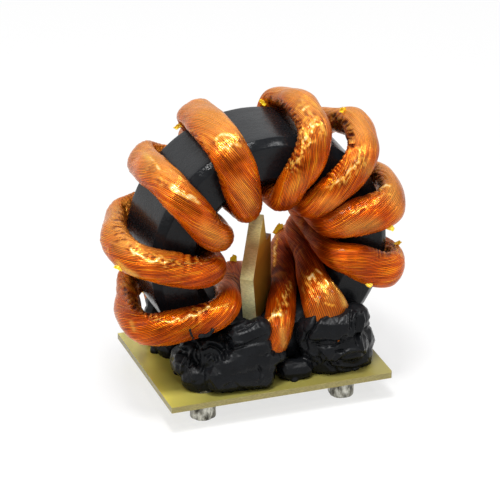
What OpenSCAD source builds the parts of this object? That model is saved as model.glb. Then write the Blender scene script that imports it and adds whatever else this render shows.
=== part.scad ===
// Toroidal inductor: a chamfered ring core standing upright on a laminate
// base plate, two windings of thick stranded copper bundle, a laminate
// divider in the core's hole, adhesive beads and four tinned pins.
// Millimetres, +Z up. The pins stand on z = 0, the core's axis runs along Y
// and the front of the part looks towards -Y.

/* [Part shown] */
// Sub-part to draw

/* [Core] */
// Outer diameter of the coated ring core
core_od = 63; // [54:0.5:76]
// Diameter of the hole through the core
core_id = 38; // [34:0.5:44]
// Depth of the core along its axis
core_depth = 24.5; // [18:0.5:32]
// Chamfer on the four edges of the core
core_chamfer = 2; // [0.8:0.1:3]
// Height of the core's lowest line over the base plate
core_gap = 1.4; // [0.8:0.1:4]
// Sideways place of the core on the base plate
core_offset = 0.6; // [-2:0.1:2]

/* [Bundle] */
// Width of the copper bundle where it lies on the core
bundle_width = 8.9; // [7:0.1:9.4]
// Thickness of the copper bundle, away from the core
bundle_thickness = 7.2; // [6:0.1:8]
// Width of the bundle where it is squeezed in the hole
bore_width = 7; // [6:0.1:7.4]
// Thickness of the bundle in the hole
bore_thickness = 6.4; // [5.6:0.1:7.6]
// Thickness of the bundle where it is drawn over the core's rear edge
edge_thickness = 4.8; // [4:0.1:6.4]
// Gap between the bundle and what carries it
seat_gap = 0.3; // [0.2:0.05:0.5]

/* [Base plate] */
// Width of the base plate, left to right
plate_width = 59.5; // [50:0.5:70]
// Depth of the base plate, front to rear
plate_depth = 45; // [38:0.5:56]
// Thickness of the base plate
plate_thickness = 1.6; // [1:0.1:3.2]
// Cut on the front right corner of the base plate
corner_cut = 0.8; // [0.5:0.1:5]

/* [Pins] */
// Diameter of a tinned pin
pin_d = 6.8; // [5:0.1:7.4]
// Length of a pin below the base plate
pin_length = 6.4; // [2.5:0.1:8]
// Height of a tinned end above the base plate
pin_rise = 0.8; // [0.4:0.1:2]
// Thickness of the tin on a pin below the base plate
pin_skin = 0.1; // [0.05:0.05:0.3]
// Distance between the pins, left to right
pin_pitch_x = 37.6; // [34:0.1:42]
// Distance between the pins, front to rear
pin_pitch_y = 28.4; // [26:0.1:32]
// Clearance between a pin and its hole, all round
pin_clearance = 0.15; // [0.05:0.05:0.4]

/* [Divider] */
// Thickness of the divider
divider_thickness = 3.5; // [2:0.1:4]
// Length of the divider along its own plane
divider_length = 16; // [10:0.1:17]
// Length of the low step at the divider's rear, behind its peak
divider_step = 4; // [1:0.1:6]
// Drop from the divider's peak to that step
divider_drop = 8.1; // [4:0.1:11]
// Height of the divider's top over the core's axis
divider_top = 8.8; // [5:0.1:11]
// Height of the bend in the divider's front edge, against the core's axis
divider_knee = -5.3; // [-9:0.1:0]
// Turn of the divider's plane away from the core's axis
divider_turn = 36; // [25:1:45]
// Place of the divider's front edge, left of the core's axis
divider_x = 8.6; // [7:0.1:10]

/* [Adhesive] */
// Size of the adhesive lobes against their chosen size
lobe_scale = 1; // [0.9:0.01:1.1]
// Width of the adhesive bed under the core
bed_width = 24; // [12:0.5:30]
// Length of the adhesive bed, front to rear
bed_depth = 16.6; // [10:0.1:17]
// Gap between the adhesive and what it holds
bead_gap = 0.15; // [0.1:0.05:0.3]

/* [Hidden] */
core_r = core_od / 2;
hole_r = core_id / 2;
plate_top = pin_length + plate_thickness;
core_z = plate_top + core_gap + core_r;
face_y = core_depth / 2 + bundle_thickness / 2 + seat_gap;
mid_r = (core_r + hole_r) / 2;
pass_r = core_r + bundle_thickness / 2 + seat_gap;
bore_r = hole_r - bore_thickness / 2 - seat_gap;
edge_r = core_r + edge_thickness / 2 + seat_gap;
edge_y = core_depth / 2 + edge_thickness / 2 + seat_gap;
bend_out = 6;
bend_in = 4.4;
cut45 = 1 - sqrt(0.5);
pin_left = -pin_pitch_x / 2;
pin_right = pin_pitch_x / 2;
pin_front = -pin_pitch_y / 2;
pin_rear = pin_pitch_y / 2;
pin_top = plate_top + pin_rise;
rear_y = face_y + bundle_thickness / 2 + bundle_thickness / 2 + seat_gap;
tip_gap = 0.1;
sides = 10;
steps = 2;

// Each turn: angles round the core at the rear face, rear edge, outer
// surface, front edge, front face, hole front and hole rear, then how far
// the loop stands off at its middle and at its front edge, its outer
// thickness, and how much wider it lies on the outside.
turn_l4 = [111.5, 112, 112.5, 112.5, 112.8, 118.5, 126, 0.6, 0.3, 7.2, 0];
turn_l3 = [142, 142, 140.5, 139.5, 143.5, 151.5, 155, 0.8, 0.3, 7.2, 0];
turn_l2 = [172, 171.5, 170.5, 171, 176, 181.5, 185, 3.4, 3.4, 7.2, 0];
turn_l1 = [207, 206, 203, 202, 210.5, 219, 261, 2.6, 2.9, 7.2, 0];
turn_r4 = [342, 342, 346, 347.5, 347, 356, 368.5, 0, 0, 5.2, 0];
turn_r3 = [16, 16, 17.5, 20.5, 21, 28, 36, 1.1, 0, 6, 1.1];
turn_r2 = [44, 45, 47.5, 48.5, 46.5, 54, 64, 3.2, 1.4, 7.2, 0];
turn_r1 = [70, 70.5, 73, 72.5, 72, 83, 92, 1.9, 0.8, 7.2, 0];

// A point of a path: place round the core, then the bundle's width and
// thickness there
function at(a, r, y, w, t) =
    [core_offset + r * cos(a), y, core_z + r * sin(a), w, t];
function by_plate(x, y, z, w, t) = [x, y, plate_top + z, w, t];

// Where a path leaves a pin, straight up from its top
function by_pin(x, y) = [for (z = [tip_gap, 1.2, 2.4])
    [x, y, pin_top + z, pin_d, pin_d]];
function from_end(p) = [for (i = [len(p) - 1 : -1 : 0]) p[i]];

function turn(k) = let (
    far = pass_r - (bundle_thickness - k[9]) / 2,
    out_w = bundle_width + k[10],
    mid_w = (bundle_width + bore_width) / 2,
    mid_t = (bundle_thickness + bore_thickness) / 2
) [
    at(k[0], core_r - 4.5, face_y, bundle_width, bundle_thickness - 0.8),
    at((k[0] + k[1]) / 2, edge_r - 1, edge_y - 1, bundle_width + 0.2, edge_thickness),
    at(k[1], (edge_r + far) / 2 + 0.4 * k[7], 6, bundle_width + k[10] / 2,
        (edge_thickness + k[9]) / 2),
    at(k[2], far + k[7], -2, out_w, k[9]),
    at(k[3], far + k[8], -(face_y - bend_out), out_w, k[9]),
    at(k[3], far + k[8] - cut45 * bend_out, -(face_y - cut45 * bend_out),
        out_w, (k[9] + bundle_thickness) / 2),
    at((2 * k[3] + k[4]) / 3, pass_r + k[8] - bend_out, -face_y, bundle_width, bundle_thickness),
    at(k[4], (pass_r + bore_r) / 2, -face_y, bundle_width, bundle_thickness),
    at(k[5], bore_r + bend_in, -face_y, mid_w, mid_t),
    at(k[5], bore_r + cut45 * bend_in, -(face_y - cut45 * bend_in), bore_width + 0.5, bore_thickness),
    at(k[5], bore_r, -(face_y - bend_in), bore_width, bore_thickness),
    at((k[5] + k[6]) / 2, bore_r, 0, bore_width, bore_thickness),
    at(k[6], bore_r, face_y - bend_in, bore_width, bore_thickness),
    at(k[6], bore_r + cut45 * bend_in, face_y - cut45 * bend_in, bore_width + 0.5, bore_thickness),
    at(k[6], bore_r + bend_in, face_y, mid_w, mid_t)];

// The lower turn of the left winding ends behind the hole, so its last two
// points give way to the lead
function but_last(p, n) = [for (i = [0 : len(p) - 1 - n]) p[i]];

left_path = concat(
    by_pin(pin_left, pin_rear),
    [by_plate(pin_left - 0.1, face_y - 0.6, 6, 7, 7),
     by_plate(pin_left - 0.3, face_y + 3.2, 11, 7.6, bundle_thickness),
     at(206, mid_r - 2.6, rear_y, bundle_width, bundle_thickness),
     at(180, mid_r - 6.6, rear_y, bundle_width, bundle_thickness),
     at(142, mid_r - 7.8, rear_y, bundle_width, bundle_thickness),
     at(118, mid_r - 7.6, rear_y, bundle_width, bundle_thickness),
     at(110.5, mid_r - 3.4, rear_y - 1, bundle_width, bundle_thickness - 0.6)],
    turn(turn_l4), turn(turn_l3), turn(turn_l2), but_last(turn(turn_l1), 2),
    [at(269, bore_r + 2, face_y - 0.2, 7.4, bore_thickness),
     at(278, mid_r - 5.2, face_y + 2.4, 8, bundle_thickness),
     at(288, mid_r - 0.8, face_y + 2.8, 8.2, bundle_thickness),
     by_plate(pin_right - 4.6, face_y + 1.6, 8.4, 7.4, bundle_thickness),
     by_plate(pin_right - 1.2, face_y - 1, 5.6, 6.4, 7)],
    from_end(by_pin(pin_right, pin_rear)));

right_path = concat(
    by_pin(pin_right, pin_front),
    [by_plate(pin_right - 0.4, -(face_y - 0.8), 5.6, 7.6, 6.6),
     at(305, mid_r + 2, -(face_y + 0.8), 9.8, 6.4),
     at(306.5, mid_r - 2.6, -(face_y + 0.2), 11.6, 6),
     at(313, mid_r - 6.8, -(face_y - 1), 10.8, 6.2),
     at(320, bore_r - 0.1, -(face_y - 6.6), 8.4, 6),
     at(335, bore_r - 0.2, 0, bore_width, bore_thickness),
     at(341, bore_r - 0.2, face_y - 8, bore_width, bore_thickness),
     at(342, bore_r + 1.6, face_y - 2.4, bore_width + 0.2, bore_thickness),
     at(342, mid_r - 5.2, face_y, 8, bore_thickness)],
    turn(turn_r4), turn(turn_r3), turn(turn_r2), turn(turn_r1),
    [at(88, mid_r - 4.6, face_y + 3, 8.4, bundle_thickness),
     at(68, mid_r - 3.6, rear_y, bundle_width, bundle_thickness),
     at(38, mid_r - 2.2, rear_y, bundle_width, bundle_thickness),
     at(8, mid_r - 1.2, rear_y, bundle_width, bundle_thickness),
     at(338, mid_r - 1, rear_y, 8.2, bundle_thickness),
     at(321, mid_r - 5.6, face_y + 3, 7.6, bundle_thickness),
     at(317, bore_r + 0.9, face_y - 2.8, 7.2, bore_thickness),
     at(310, bore_r - 0.2, face_y - 10, bore_width, bore_thickness),
     at(299, bore_r - 0.2, -1, bore_width, bore_thickness),
     at(285, bore_r - 0.2, -(face_y - 8), 7.2, bore_thickness),
     at(275, bore_r + 1.2, -(face_y - 2.3), 7.8, bore_thickness),
     at(268, mid_r - 5.4, -(face_y + 0.2), 8.2, 6.8),
     at(264, mid_r - 0.8, -(face_y + 0.7), 8.2, 6.8),
     by_plate(core_offset - 6.2, -(face_y + 0.8), 6.4, 8, 6.8),
     by_plate(core_offset - 11.6, -(face_y + 0.2), 5.4, 7, 6.8),
     by_plate(pin_left + 2.6, -(face_y - 1), 5.4, 5.8, 6.8)],
    from_end(by_pin(pin_left, pin_front)));

// A smooth line through the points of a path
function bow(a, b, c, d, u) = 0.5 * (2 * b + (c - a) * u
    + (2 * a - 5 * b + 4 * c - d) * u * u
    + (3 * b - a - 3 * c + d) * u * u * u);
function smooth(p) = let (
    m = len(p),
    q = concat([2 * p[0] - p[1]], p, [2 * p[m - 1] - p[m - 2]])
) concat([for (i = [1 : m - 1], j = [0 : steps - 1])
    bow(q[i - 1], q[i], q[i + 1], q[i + 2], j / steps)], [p[m - 1]]);
function xyz(v) = [v[0], v[1], v[2]];
function unit(v) = v / norm(v);

// Direction from the middle of the core's section out to a point
function outward(v) = let (
    a = atan2(v[2] - core_z, v[0] - core_offset)
) v - [core_offset + mid_r * cos(a), 0, core_z + mid_r * sin(a)];

// A bundle drawn along a path, grown all round by extra
module bundle(path, extra = 0) {
    s = smooth(path);
    m = len(s);
    ring = [for (i = [0 : m - 1]) let (
        c = xyz(s[i]),
        t = unit(xyz(s[min(i + 1, m - 1)]) - xyz(s[max(i - 1, 0)])),
        o = outward(c),
        n = unit(o - (o * t) * t),
        b = cross(t, n)
    ) for (j = [0 : sides - 1])
        c + b * (s[i][3] / 2 + extra) * cos(360 * j / sides)
          + n * (s[i][4] / 2 + extra) * sin(360 * j / sides)];
    wall = [for (i = [0 : m - 2], j = [0 : sides - 1]) let (
        a = i * sides + j,
        b = i * sides + (j + 1) % sides
    ) each [[a, b, a + sides], [b, b + sides, a + sides]]];
    ends = [[for (j = [sides - 1 : -1 : 0]) j],
        [for (j = [0 : sides - 1]) (m - 1) * sides + j]];
    polyhedron(points = ring, faces = concat(wall, ends));
}

module ring_core(extra = 0) {
    w = core_r - hole_r;
    h = core_depth / 2;
    c = core_chamfer;
    translate([core_offset, 0, core_z])
        rotate([90, 0, 0])
            rotate_extrude($fn = 96)
                translate([hole_r, 0])
                    polygon([[c - extra / 2, -h - extra], [w - c + extra / 2, -h - extra],
                        [w + extra, c - extra / 2 - h], [w + extra, h - c + extra / 2],
                        [w - c + extra / 2, h + extra], [c - extra / 2, h + extra],
                        [-extra, h - c + extra / 2], [-extra, c - extra / 2 - h]]);
}

module pin(x, y, extra = 0) {
    translate([x, y, -extra]) {
        cylinder(d = pin_d + 2 * extra, h = pin_length + extra, $fn = 48);
        cylinder(d = pin_d - 2 * pin_skin + 2 * extra, h = pin_top + 2 * extra, $fn = 48);
    }
}

module divider_plate(extra = 0) {
    y0 = -core_depth / 2;
    foot = -(hole_r - 0.8);
    peak = divider_length - divider_step - 2.6;
    low = divider_top - divider_drop;
    translate([core_offset - divider_x, y0 + 0.25, core_z])
        rotate([0, 0, 90 - divider_turn])
            translate([-extra, extra, 0])
                rotate([90, 0, 0])
                    linear_extrude(height = divider_thickness + 2 * extra)
                        offset(delta = extra)
                            polygon([[3, foot], [0, divider_knee], [peak - 1, divider_top - 1.4],
                                [peak, divider_top], [divider_length - divider_step, low],
                                [divider_length, low], [divider_length, foot]]);
}

// The divider's foot follows the wall of the hole
module divider_body(extra = 0) {
    intersection() {
        divider_plate(extra);
        union() {
            translate([core_offset, core_depth / 2, core_z])
                rotate([90, 0, 0])
                    cylinder(r = hole_r - seat_gap + extra, h = core_depth + 10, $fn = 96);
            translate([core_offset - core_r, -core_depth / 2 - seat_gap - 12, core_z - hole_r + 0.5])
                cube([core_od, 12, core_od / 2]);
        }
    }
}

// One lobe of adhesive: a rounded lump drawn from one point to another
module lobe(p, q) {
    hull() {
        translate([p[0], p[1], p[2]])
            sphere(r = p[3] * lobe_scale, $fn = 10);
        translate([q[0], q[1], q[2]])
            sphere(r = q[3] * lobe_scale, $fn = 10);
    }
}

// A pile of lobes that stands on the base plate and makes way for what it
// holds
module pile(lobes) {
    union() {
        difference() {
            intersection() {
                union() {
                    for (v = lobes) {
                        lobe(v[0], v[1]);
                    }
                }
                translate([-plate_width / 2, -plate_depth / 2 - 4, plate_top])
                    cube([plate_width + 4, plate_depth + 8, core_od]);
            }
            bundle(left_path, bead_gap);
            bundle(right_path, bead_gap);
            ring_core(bead_gap);
            divider_body(bead_gap);
            for (x = [pin_left, pin_right], y = [pin_front, pin_rear]) {
                pin(x, y, bead_gap);
            }
        }
    }
}

module core() {
    color([0.16, 0.17, 0.18])
        ring_core();
}

module left_winding() {
    color([0.80, 0.42, 0.14])
        bundle(left_path);
}

module right_winding() {
    color([0.80, 0.42, 0.14])
        bundle(right_path);
}

module divider() {
    color([0.70, 0.68, 0.48])
        divider_body();
}

module base_plate() {
    x = plate_width / 2;
    y = plate_depth / 2;
    color([0.74, 0.70, 0.36])
        difference() {
            translate([0, 0, pin_length])
                linear_extrude(height = plate_thickness)
                    polygon([[-x, -y], [x - corner_cut / 2, -y], [x, corner_cut - y], [x, y], [-x, y]]);
            for (px = [pin_left, pin_right], py = [pin_front, pin_rear]) {
                translate([px, py, pin_length - 1])
                    cylinder(d = pin_d + 2 * pin_clearance, h = plate_thickness + 2, $fn = 48);
            }
        }
}

module pin_front_left() {
    color([0.66, 0.65, 0.62])
        pin(pin_left, pin_front);
}

module pin_front_right() {
    color([0.66, 0.65, 0.62])
        pin(pin_right, pin_front);
}

module pin_rear_left() {
    color([0.66, 0.65, 0.62])
        pin(pin_left, pin_rear);
}

module pin_rear_right() {
    color([0.66, 0.65, 0.62])
        pin(pin_right, pin_rear);
}

module adhesive_front_left() {
    x = pin_left;
    y = pin_front;
    z = plate_top;
    color([0.10, 0.11, 0.12])
        pile([
            [[x - 2.4, y + 3.4, z + 5.6, 4.4], [x - 0.8, y + 10, z + 3.4, 4.2]],
            [[x - 0.9, y + 0.7, z + 3, 4.8], [x + 5.6, y, z + 2.6, 5]],
            [[x + 6, y, z + 2.6, 5], [x + 12.7, y - 0.4, z + 1.8, 5]],
            [[x + 14.6, y, z + 1, 4.4], [x + 14.8, y + 2, z + 4.4, 4.2]],
            [[x + 14.1, y - 1.3, z + 14.6, 3.6], [x + 8.9, y - 0.8, z + 13.1, 3.6]],
            [[x + 8.7, y - 1.3, z + 8.7, 4.8], [x + 14.1, y - 1.3, z + 7.8, 4.4]],
            [[x + 2.6, y + 0.2, z + 8.6, 4.6], [x + 4.6, y + 0.6, z + 10.6, 3.8]],
            [[x - 0.6, y + 4.8, z + 9.1, 4], [x + 2, y + 2, z + 6, 4.4]],
            [[x + 3, y - 2.2, z + 5.8, 4.2], [x + 13.4, y - 2.6, z + 5.6, 4.8]]]);
}

module adhesive_front_right() {
    x = pin_right;
    y = pin_front;
    z = plate_top;
    color([0.10, 0.11, 0.12])
        pile([
            [[x - 8.2, y + 1.2, z + 3.1, 4.6], [x - 3.6, y - 1, z + 3.6, 5]],
            [[x - 2, y - 0.4, z + 3, 5], [x + 3.5, y + 0.7, z + 2.6, 5]],
            [[x + 5.4, y + 4.2, z + 3.4, 4.8], [x + 4.6, y + 1.2, z + 6.7, 4.6]],
            [[x - 7.8, y - 2, z + 11.6, 4], [x - 2.7, y - 4, z + 11.4, 4.2]],
            [[x - 2.7, y - 4, z + 12, 4], [x + 2.6, y - 2, z + 12.4, 4.2]],
            [[x + 3.6, y + 0.8, z + 14.4, 3.4], [x + 5, y + 1.6, z + 10.4, 4]],
            [[x - 9.4, y - 0.4, z + 10.6, 3.4], [x - 7.6, y - 0.6, z + 6.4, 4.4]],
            [[x - 4.4, y - 2.6, z + 7.4, 4.8], [x + 1.6, y - 2.4, z + 7, 4.8]],
            [[x - 14.8, y + 2, z + 1.8, 3], [x - 10.6, y + 2, z + 1.6, 3.4]]]);
}

module adhesive_rear_left() {
    x = pin_left;
    y = pin_rear;
    z = plate_top;
    color([0.10, 0.11, 0.12])
        pile([
            [[x - 2, y - 2.4, z + 2.4, 4.2], [x + 3, y - 2.4, z + 2.6, 4.4]],
            [[x - 1, y + 0.6, z + 3, 4.8], [x + 3, y + 0.6, z + 3, 4.8]],
            [[x + 4, y, z + 2, 4.4], [x + 8, y + 0.2, z + 1.8, 4]],
            [[x - 1.4, y + 2, z + 6.4, 4.6], [x + 1.8, y + 1.6, z + 6.8, 4.6]],
            [[x + 4, y + 0.8, z + 6, 4], [x + 6, y + 1, z + 4, 4]],
            [[x - 2.4, y - 3, z + 4.4, 4], [x - 1.4, y - 8, z + 2, 3.6]],
            [[x - 0.8, y + 3.6, z + 10, 4], [x + 2.2, y + 3, z + 9.4, 4]],
            [[x + 6, y + 1.6, z + 3.6, 4], [x + 9.4, y + 1, z + 1.6, 3.4]]]);
}

module adhesive_rear_right() {
    x = pin_right;
    y = pin_rear;
    z = plate_top;
    color([0.10, 0.11, 0.12])
        pile([
            [[x - 3, y - 1.6, z + 2.4, 4.4], [x + 2.6, y - 2, z + 2.6, 4.4]],
            [[x - 4, y + 0.8, z + 3, 4.8], [x + 1.6, y + 0.8, z + 3.2, 4.8]],
            [[x - 9, y + 0.6, z + 2.4, 4.2], [x - 5, y + 0.6, z + 2.6, 4.6]],
            [[x - 4.6, y + 1.8, z + 7.4, 4.6], [x, y + 1.4, z + 6.4, 4.6]],
            [[x + 2.6, y + 0.4, z + 5.4, 4], [x + 3.6, y - 3, z + 4, 4]],
            [[x - 9.4, y + 2, z + 6.4, 4], [x - 7, y + 2, z + 8.6, 4]],
            [[x - 13, y + 0.6, z + 1.4, 3.2], [x - 10, y + 0.6, z + 1.8, 3.8]],
            [[x + 2, y - 8, z + 1.6, 3.4], [x + 3, y - 4.4, z + 2.2, 4]]]);
}

module adhesive_bed() {
    w = bed_width / 2;
    color([0.10, 0.11, 0.12])
        difference() {
            translate([core_offset, bed_depth / 2, plate_top])
                rotate([90, 0, 0])
                    linear_extrude(height = bed_depth)
                        polygon([[-w, 0], [w, 0], [w - 1.4, core_gap + 1.6],
                            [1.4 - w, core_gap + 1.6]]);
            translate([core_offset, core_depth / 2, core_z])
                rotate([90, 0, 0])
                    cylinder(r = core_r, h = core_depth, $fn = 96);
        }
}

core();
left_winding();
right_winding();
divider();
base_plate();
pin_front_left();
pin_front_right();
pin_rear_left();
pin_rear_right();
adhesive_front_left();
adhesive_front_right();
adhesive_rear_left();
adhesive_rear_right();
adhesive_bed();
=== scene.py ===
"""Looks of the toroidal inductor: strands, clear film, coating, laminate, solder and black adhesive.

Lengths are in millimetres, as on the drawing, and become metres through MM. Places that are called
px lie in a frame of 500 x 500 pixels, as this file's camera sees it.
"""

import math

import bmesh
import bpy
import numpy as np
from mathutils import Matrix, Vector, noise

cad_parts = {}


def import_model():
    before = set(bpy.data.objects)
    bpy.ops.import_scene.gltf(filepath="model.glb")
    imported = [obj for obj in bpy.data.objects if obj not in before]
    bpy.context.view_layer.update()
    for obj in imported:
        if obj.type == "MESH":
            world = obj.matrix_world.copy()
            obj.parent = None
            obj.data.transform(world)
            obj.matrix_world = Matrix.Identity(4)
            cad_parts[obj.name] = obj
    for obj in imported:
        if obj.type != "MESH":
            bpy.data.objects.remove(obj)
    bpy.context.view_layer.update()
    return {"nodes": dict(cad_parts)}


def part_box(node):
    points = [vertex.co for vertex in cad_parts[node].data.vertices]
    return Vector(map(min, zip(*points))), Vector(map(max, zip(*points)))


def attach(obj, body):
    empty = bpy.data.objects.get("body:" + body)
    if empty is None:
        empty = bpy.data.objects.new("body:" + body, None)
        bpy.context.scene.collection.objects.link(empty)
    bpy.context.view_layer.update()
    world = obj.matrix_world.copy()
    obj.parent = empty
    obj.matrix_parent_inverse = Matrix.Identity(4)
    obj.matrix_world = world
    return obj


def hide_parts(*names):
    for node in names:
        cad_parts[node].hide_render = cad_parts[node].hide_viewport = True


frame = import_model()
NODES = frame["nodes"]
MM = 0.001
# noise_vector takes its offsets from the clock unless a seed is set
noise.seed_set(1)

# ---- sizes of the part, in mm
CORE_R, HOLE_R, CORE_DEPTH, CORE_CHAMFER = 31.5, 19.0, 24.5, 2.0
CORE_GAP, CORE_X = 1.4, 0.6
BUNDLE_W, BUNDLE_T, BORE_W, BORE_T, EDGE_T, SEAT = 8.9, 7.2, 7.0, 6.4, 4.8, 0.3
PLATE_X, PLATE_Y, PLATE_T = 59.5, 45.0, 1.6
PIN_LENGTH, PIN_D, PIN_RISE = 6.4, 6.8, 0.8
PIN_X, PIN_Y = 18.8, 14.2

PLATE_TOP = PIN_LENGTH + PLATE_T
PIN_TOP = PLATE_TOP + PIN_RISE
CORE_Z = PLATE_TOP + CORE_GAP + CORE_R
MID_R = (CORE_R + HOLE_R) / 2
FACE_Y = CORE_DEPTH / 2 + BUNDLE_T / 2 + SEAT
PASS_R = CORE_R + BUNDLE_T / 2 + SEAT
BORE_R = HOLE_R - BORE_T / 2 - SEAT
EDGE_R = CORE_R + EDGE_T / 2 + SEAT
EDGE_Y = CORE_DEPTH / 2 + EDGE_T / 2 + SEAT
REAR_Y = FACE_Y + BUNDLE_T + SEAT
BEND_OUT, BEND_IN, TIP_GAP = 6.0, 4.4, 0.1
CUT45 = 1 - math.sqrt(0.5)

# ---- camera
CAMERA_TARGET = (-1.03, 0.0, 37.32)
CAMERA_AZ, CAMERA_EL, CAMERA_DIST, CAMERA_LENS = -19.48, 24.83, 882.0, 249.3
SENSOR, FRAME_PX = 36, 500
LENS_PX = CAMERA_LENS / SENSOR * FRAME_PX
CENTRE_PX = FRAME_PX // 2

azimuth, elevation = math.radians(CAMERA_AZ), math.radians(CAMERA_EL)
# unit vectors from the part to the camera, and to the right of the frame
AWAY = np.array([math.sin(azimuth) * math.cos(elevation), -math.cos(azimuth) * math.cos(elevation),
                 math.sin(elevation)])
RIGHT = np.array([math.cos(azimuth), math.sin(azimuth), 0])
# the camera's place in metres
EYE = (Vector(CAMERA_TARGET) + Vector(AWAY) * CAMERA_DIST) * MM


def camera():
    data = bpy.data.cameras.new("camera")
    data.lens = CAMERA_LENS
    data.sensor_width = SENSOR
    data.clip_end = 10
    o = in_scene("camera", data)
    o.location = EYE
    o.rotation_euler = Vector(AWAY).to_track_quat("Z", "Y").to_euler()
    bpy.context.scene.camera = o


def in_scene(name, data):
    o = bpy.data.objects.new(name, data)
    bpy.context.scene.collection.objects.link(o)
    return o


def to_px(points):
    """Where points in mm are seen in the frame."""
    from_eye = points - (np.array(CAMERA_TARGET) + AWAY * CAMERA_DIST)
    depth = -from_eye @ AWAY
    up = np.cross(AWAY, RIGHT)
    return np.stack([CENTRE_PX + LENS_PX * (from_eye @ RIGHT) / depth,
                     CENTRE_PX - LENS_PX * (from_eye @ up) / depth], axis=1)


def seen_at(x, y):
    """The point in mm, and the normal, where the camera sees a bundle at a place in px."""
    away, right = Vector(AWAY), Vector(RIGHT)
    up = away.cross(right)
    way = (-away + right * (x - CENTRE_PX) / LENS_PX + up * (CENTRE_PX - y) / LENS_PX).normalized()
    found = []
    for o in BUNDLES:
        hit, place, normal, _ = o.ray_cast(EYE, way)
        if hit:
            found.append(((place - EYE).length, place / MM, normal))
    return min(found, key=lambda row: row[0])[1:] if found else None


# ---- route of the two bundles
def at(angle, r, y, w=BUNDLE_W, t=BUNDLE_T):
    """A point of the route round the core's axis, with the bundle's width and thickness there."""
    a = math.radians(angle)
    return (CORE_X + r * math.cos(a), y, CORE_Z + r * math.sin(a), w, t)


def by_plate(x, y, z, w, t):
    return (x, y, PLATE_TOP + z, w, t)


def by_pin(x, y):
    return [(x, y, PIN_TOP + z, PIN_D, PIN_D) for z in (TIP_GAP, 1.2, 2.4)]


def turn(rear, edge, outer, front, face, hole_front, hole_rear, stand_mid, stand_front, outer_t,
         wider=0.0):
    """One turn round the core's section, by its angles at the rear, over the rear edge, outside, in front
    and at both ends of the hole, by how far it stands off outside, its thickness and added width there."""
    far = PASS_R - (BUNDLE_T - outer_t) / 2
    out_w, mid_w, mid_t = BUNDLE_W + wider, (BUNDLE_W + BORE_W) / 2, (BUNDLE_T + BORE_T) / 2
    bend_w = BORE_W + 0.5
    return [
        at(rear, CORE_R - 4.5, FACE_Y, BUNDLE_W, BUNDLE_T - 0.8),
        at((rear + edge) / 2, EDGE_R - 1, EDGE_Y - 1, BUNDLE_W + 0.2, EDGE_T),
        at(edge, (EDGE_R + far) / 2 + 0.4 * stand_mid, 6, BUNDLE_W + wider / 2, (EDGE_T + outer_t) / 2),
        at(outer, far + stand_mid, -2, out_w, outer_t),
        at(front, far + stand_front, -(FACE_Y - BEND_OUT), out_w, outer_t),
        at(front, far + stand_front - CUT45 * BEND_OUT, -(FACE_Y - CUT45 * BEND_OUT),
           out_w, (outer_t + BUNDLE_T) / 2),
        at((2 * front + face) / 3, PASS_R + stand_front - BEND_OUT, -FACE_Y, out_w),
        at(face, (PASS_R + BORE_R) / 2, -FACE_Y, out_w),
        at(hole_front, BORE_R + BEND_IN, -FACE_Y, mid_w + wider, mid_t),
        at(hole_front, BORE_R + CUT45 * BEND_IN, -(FACE_Y - CUT45 * BEND_IN), bend_w, BORE_T),
        at(hole_front, BORE_R, -(FACE_Y - BEND_IN), BORE_W, BORE_T),
        at((hole_front + hole_rear) / 2, BORE_R, 0, BORE_W, BORE_T),
        at(hole_rear, BORE_R, FACE_Y - BEND_IN, BORE_W, BORE_T),
        at(hole_rear, BORE_R + CUT45 * BEND_IN, FACE_Y - CUT45 * BEND_IN, bend_w, BORE_T),
        at(hole_rear, BORE_R + BEND_IN, FACE_Y, mid_w, mid_t),
    ]


TURN_L4 = turn(111.5, 111.6, 111.7, 111.6, 111.4, 117.2, 126, 0.6, 0.3, 7.2, 1.1)
TURN_L3 = turn(142, 142, 140.5, 139.5, 143.5, 151.5, 155, 0.8, 0.3, 7.2)
TURN_L2 = turn(172, 171.5, 170.5, 171, 176, 181.5, 185, 3.4, 3.4, 7.2)
TURN_L1 = turn(207, 206, 203, 202, 210.5, 219, 261, 2.6, 2.9, 7.2)
TURN_R4 = turn(342, 342, 345.2, 346.5, 345.8, 355, 368.5, 0, 0, 5.2, 0.8)
TURN_R3 = turn(16, 16, 16.9, 19.2, 20.0, 27.6, 36, 1.1, 0, 6, 1.8)
TURN_R2 = turn(44, 45, 47.5, 48.5, 46.5, 54, 64, 3.2, 1.4, 7.2)
TURN_R1 = turn(70, 70.5, 73, 72.5, 72, 83, 92, 1.9, 0.8, 7.2)

LEFT_PATH = (
    by_pin(-PIN_X, PIN_Y)
    + [by_plate(-PIN_X - 0.1, FACE_Y - 0.6, 6, 7, 7),
       by_plate(-PIN_X - 0.3, FACE_Y + 3.2, 11, 7.6, BUNDLE_T),
       at(206, MID_R - 2.6, REAR_Y),
       at(180, MID_R - 6.6, REAR_Y),
       at(142, MID_R - 7.8, REAR_Y),
       at(118, MID_R - 7.6, REAR_Y),
       at(110.5, MID_R - 3.4, REAR_Y - 1, BUNDLE_W, BUNDLE_T - 0.6)]
    + TURN_L4 + TURN_L3 + TURN_L2 + TURN_L1[:-2]
    + [at(269, BORE_R + 2, FACE_Y - 0.2, 7.4, BORE_T),
       at(278, MID_R - 5.2, FACE_Y + 2.4, 8),
       at(288, MID_R - 0.8, FACE_Y + 2.8, 8.2),
       by_plate(PIN_X - 4.6, FACE_Y + 1.6, 8.4, 7.4, BUNDLE_T),
       by_plate(PIN_X - 1.2, FACE_Y - 1, 5.6, 6.4, 7)]
    + by_pin(PIN_X, PIN_Y)[::-1])

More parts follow.
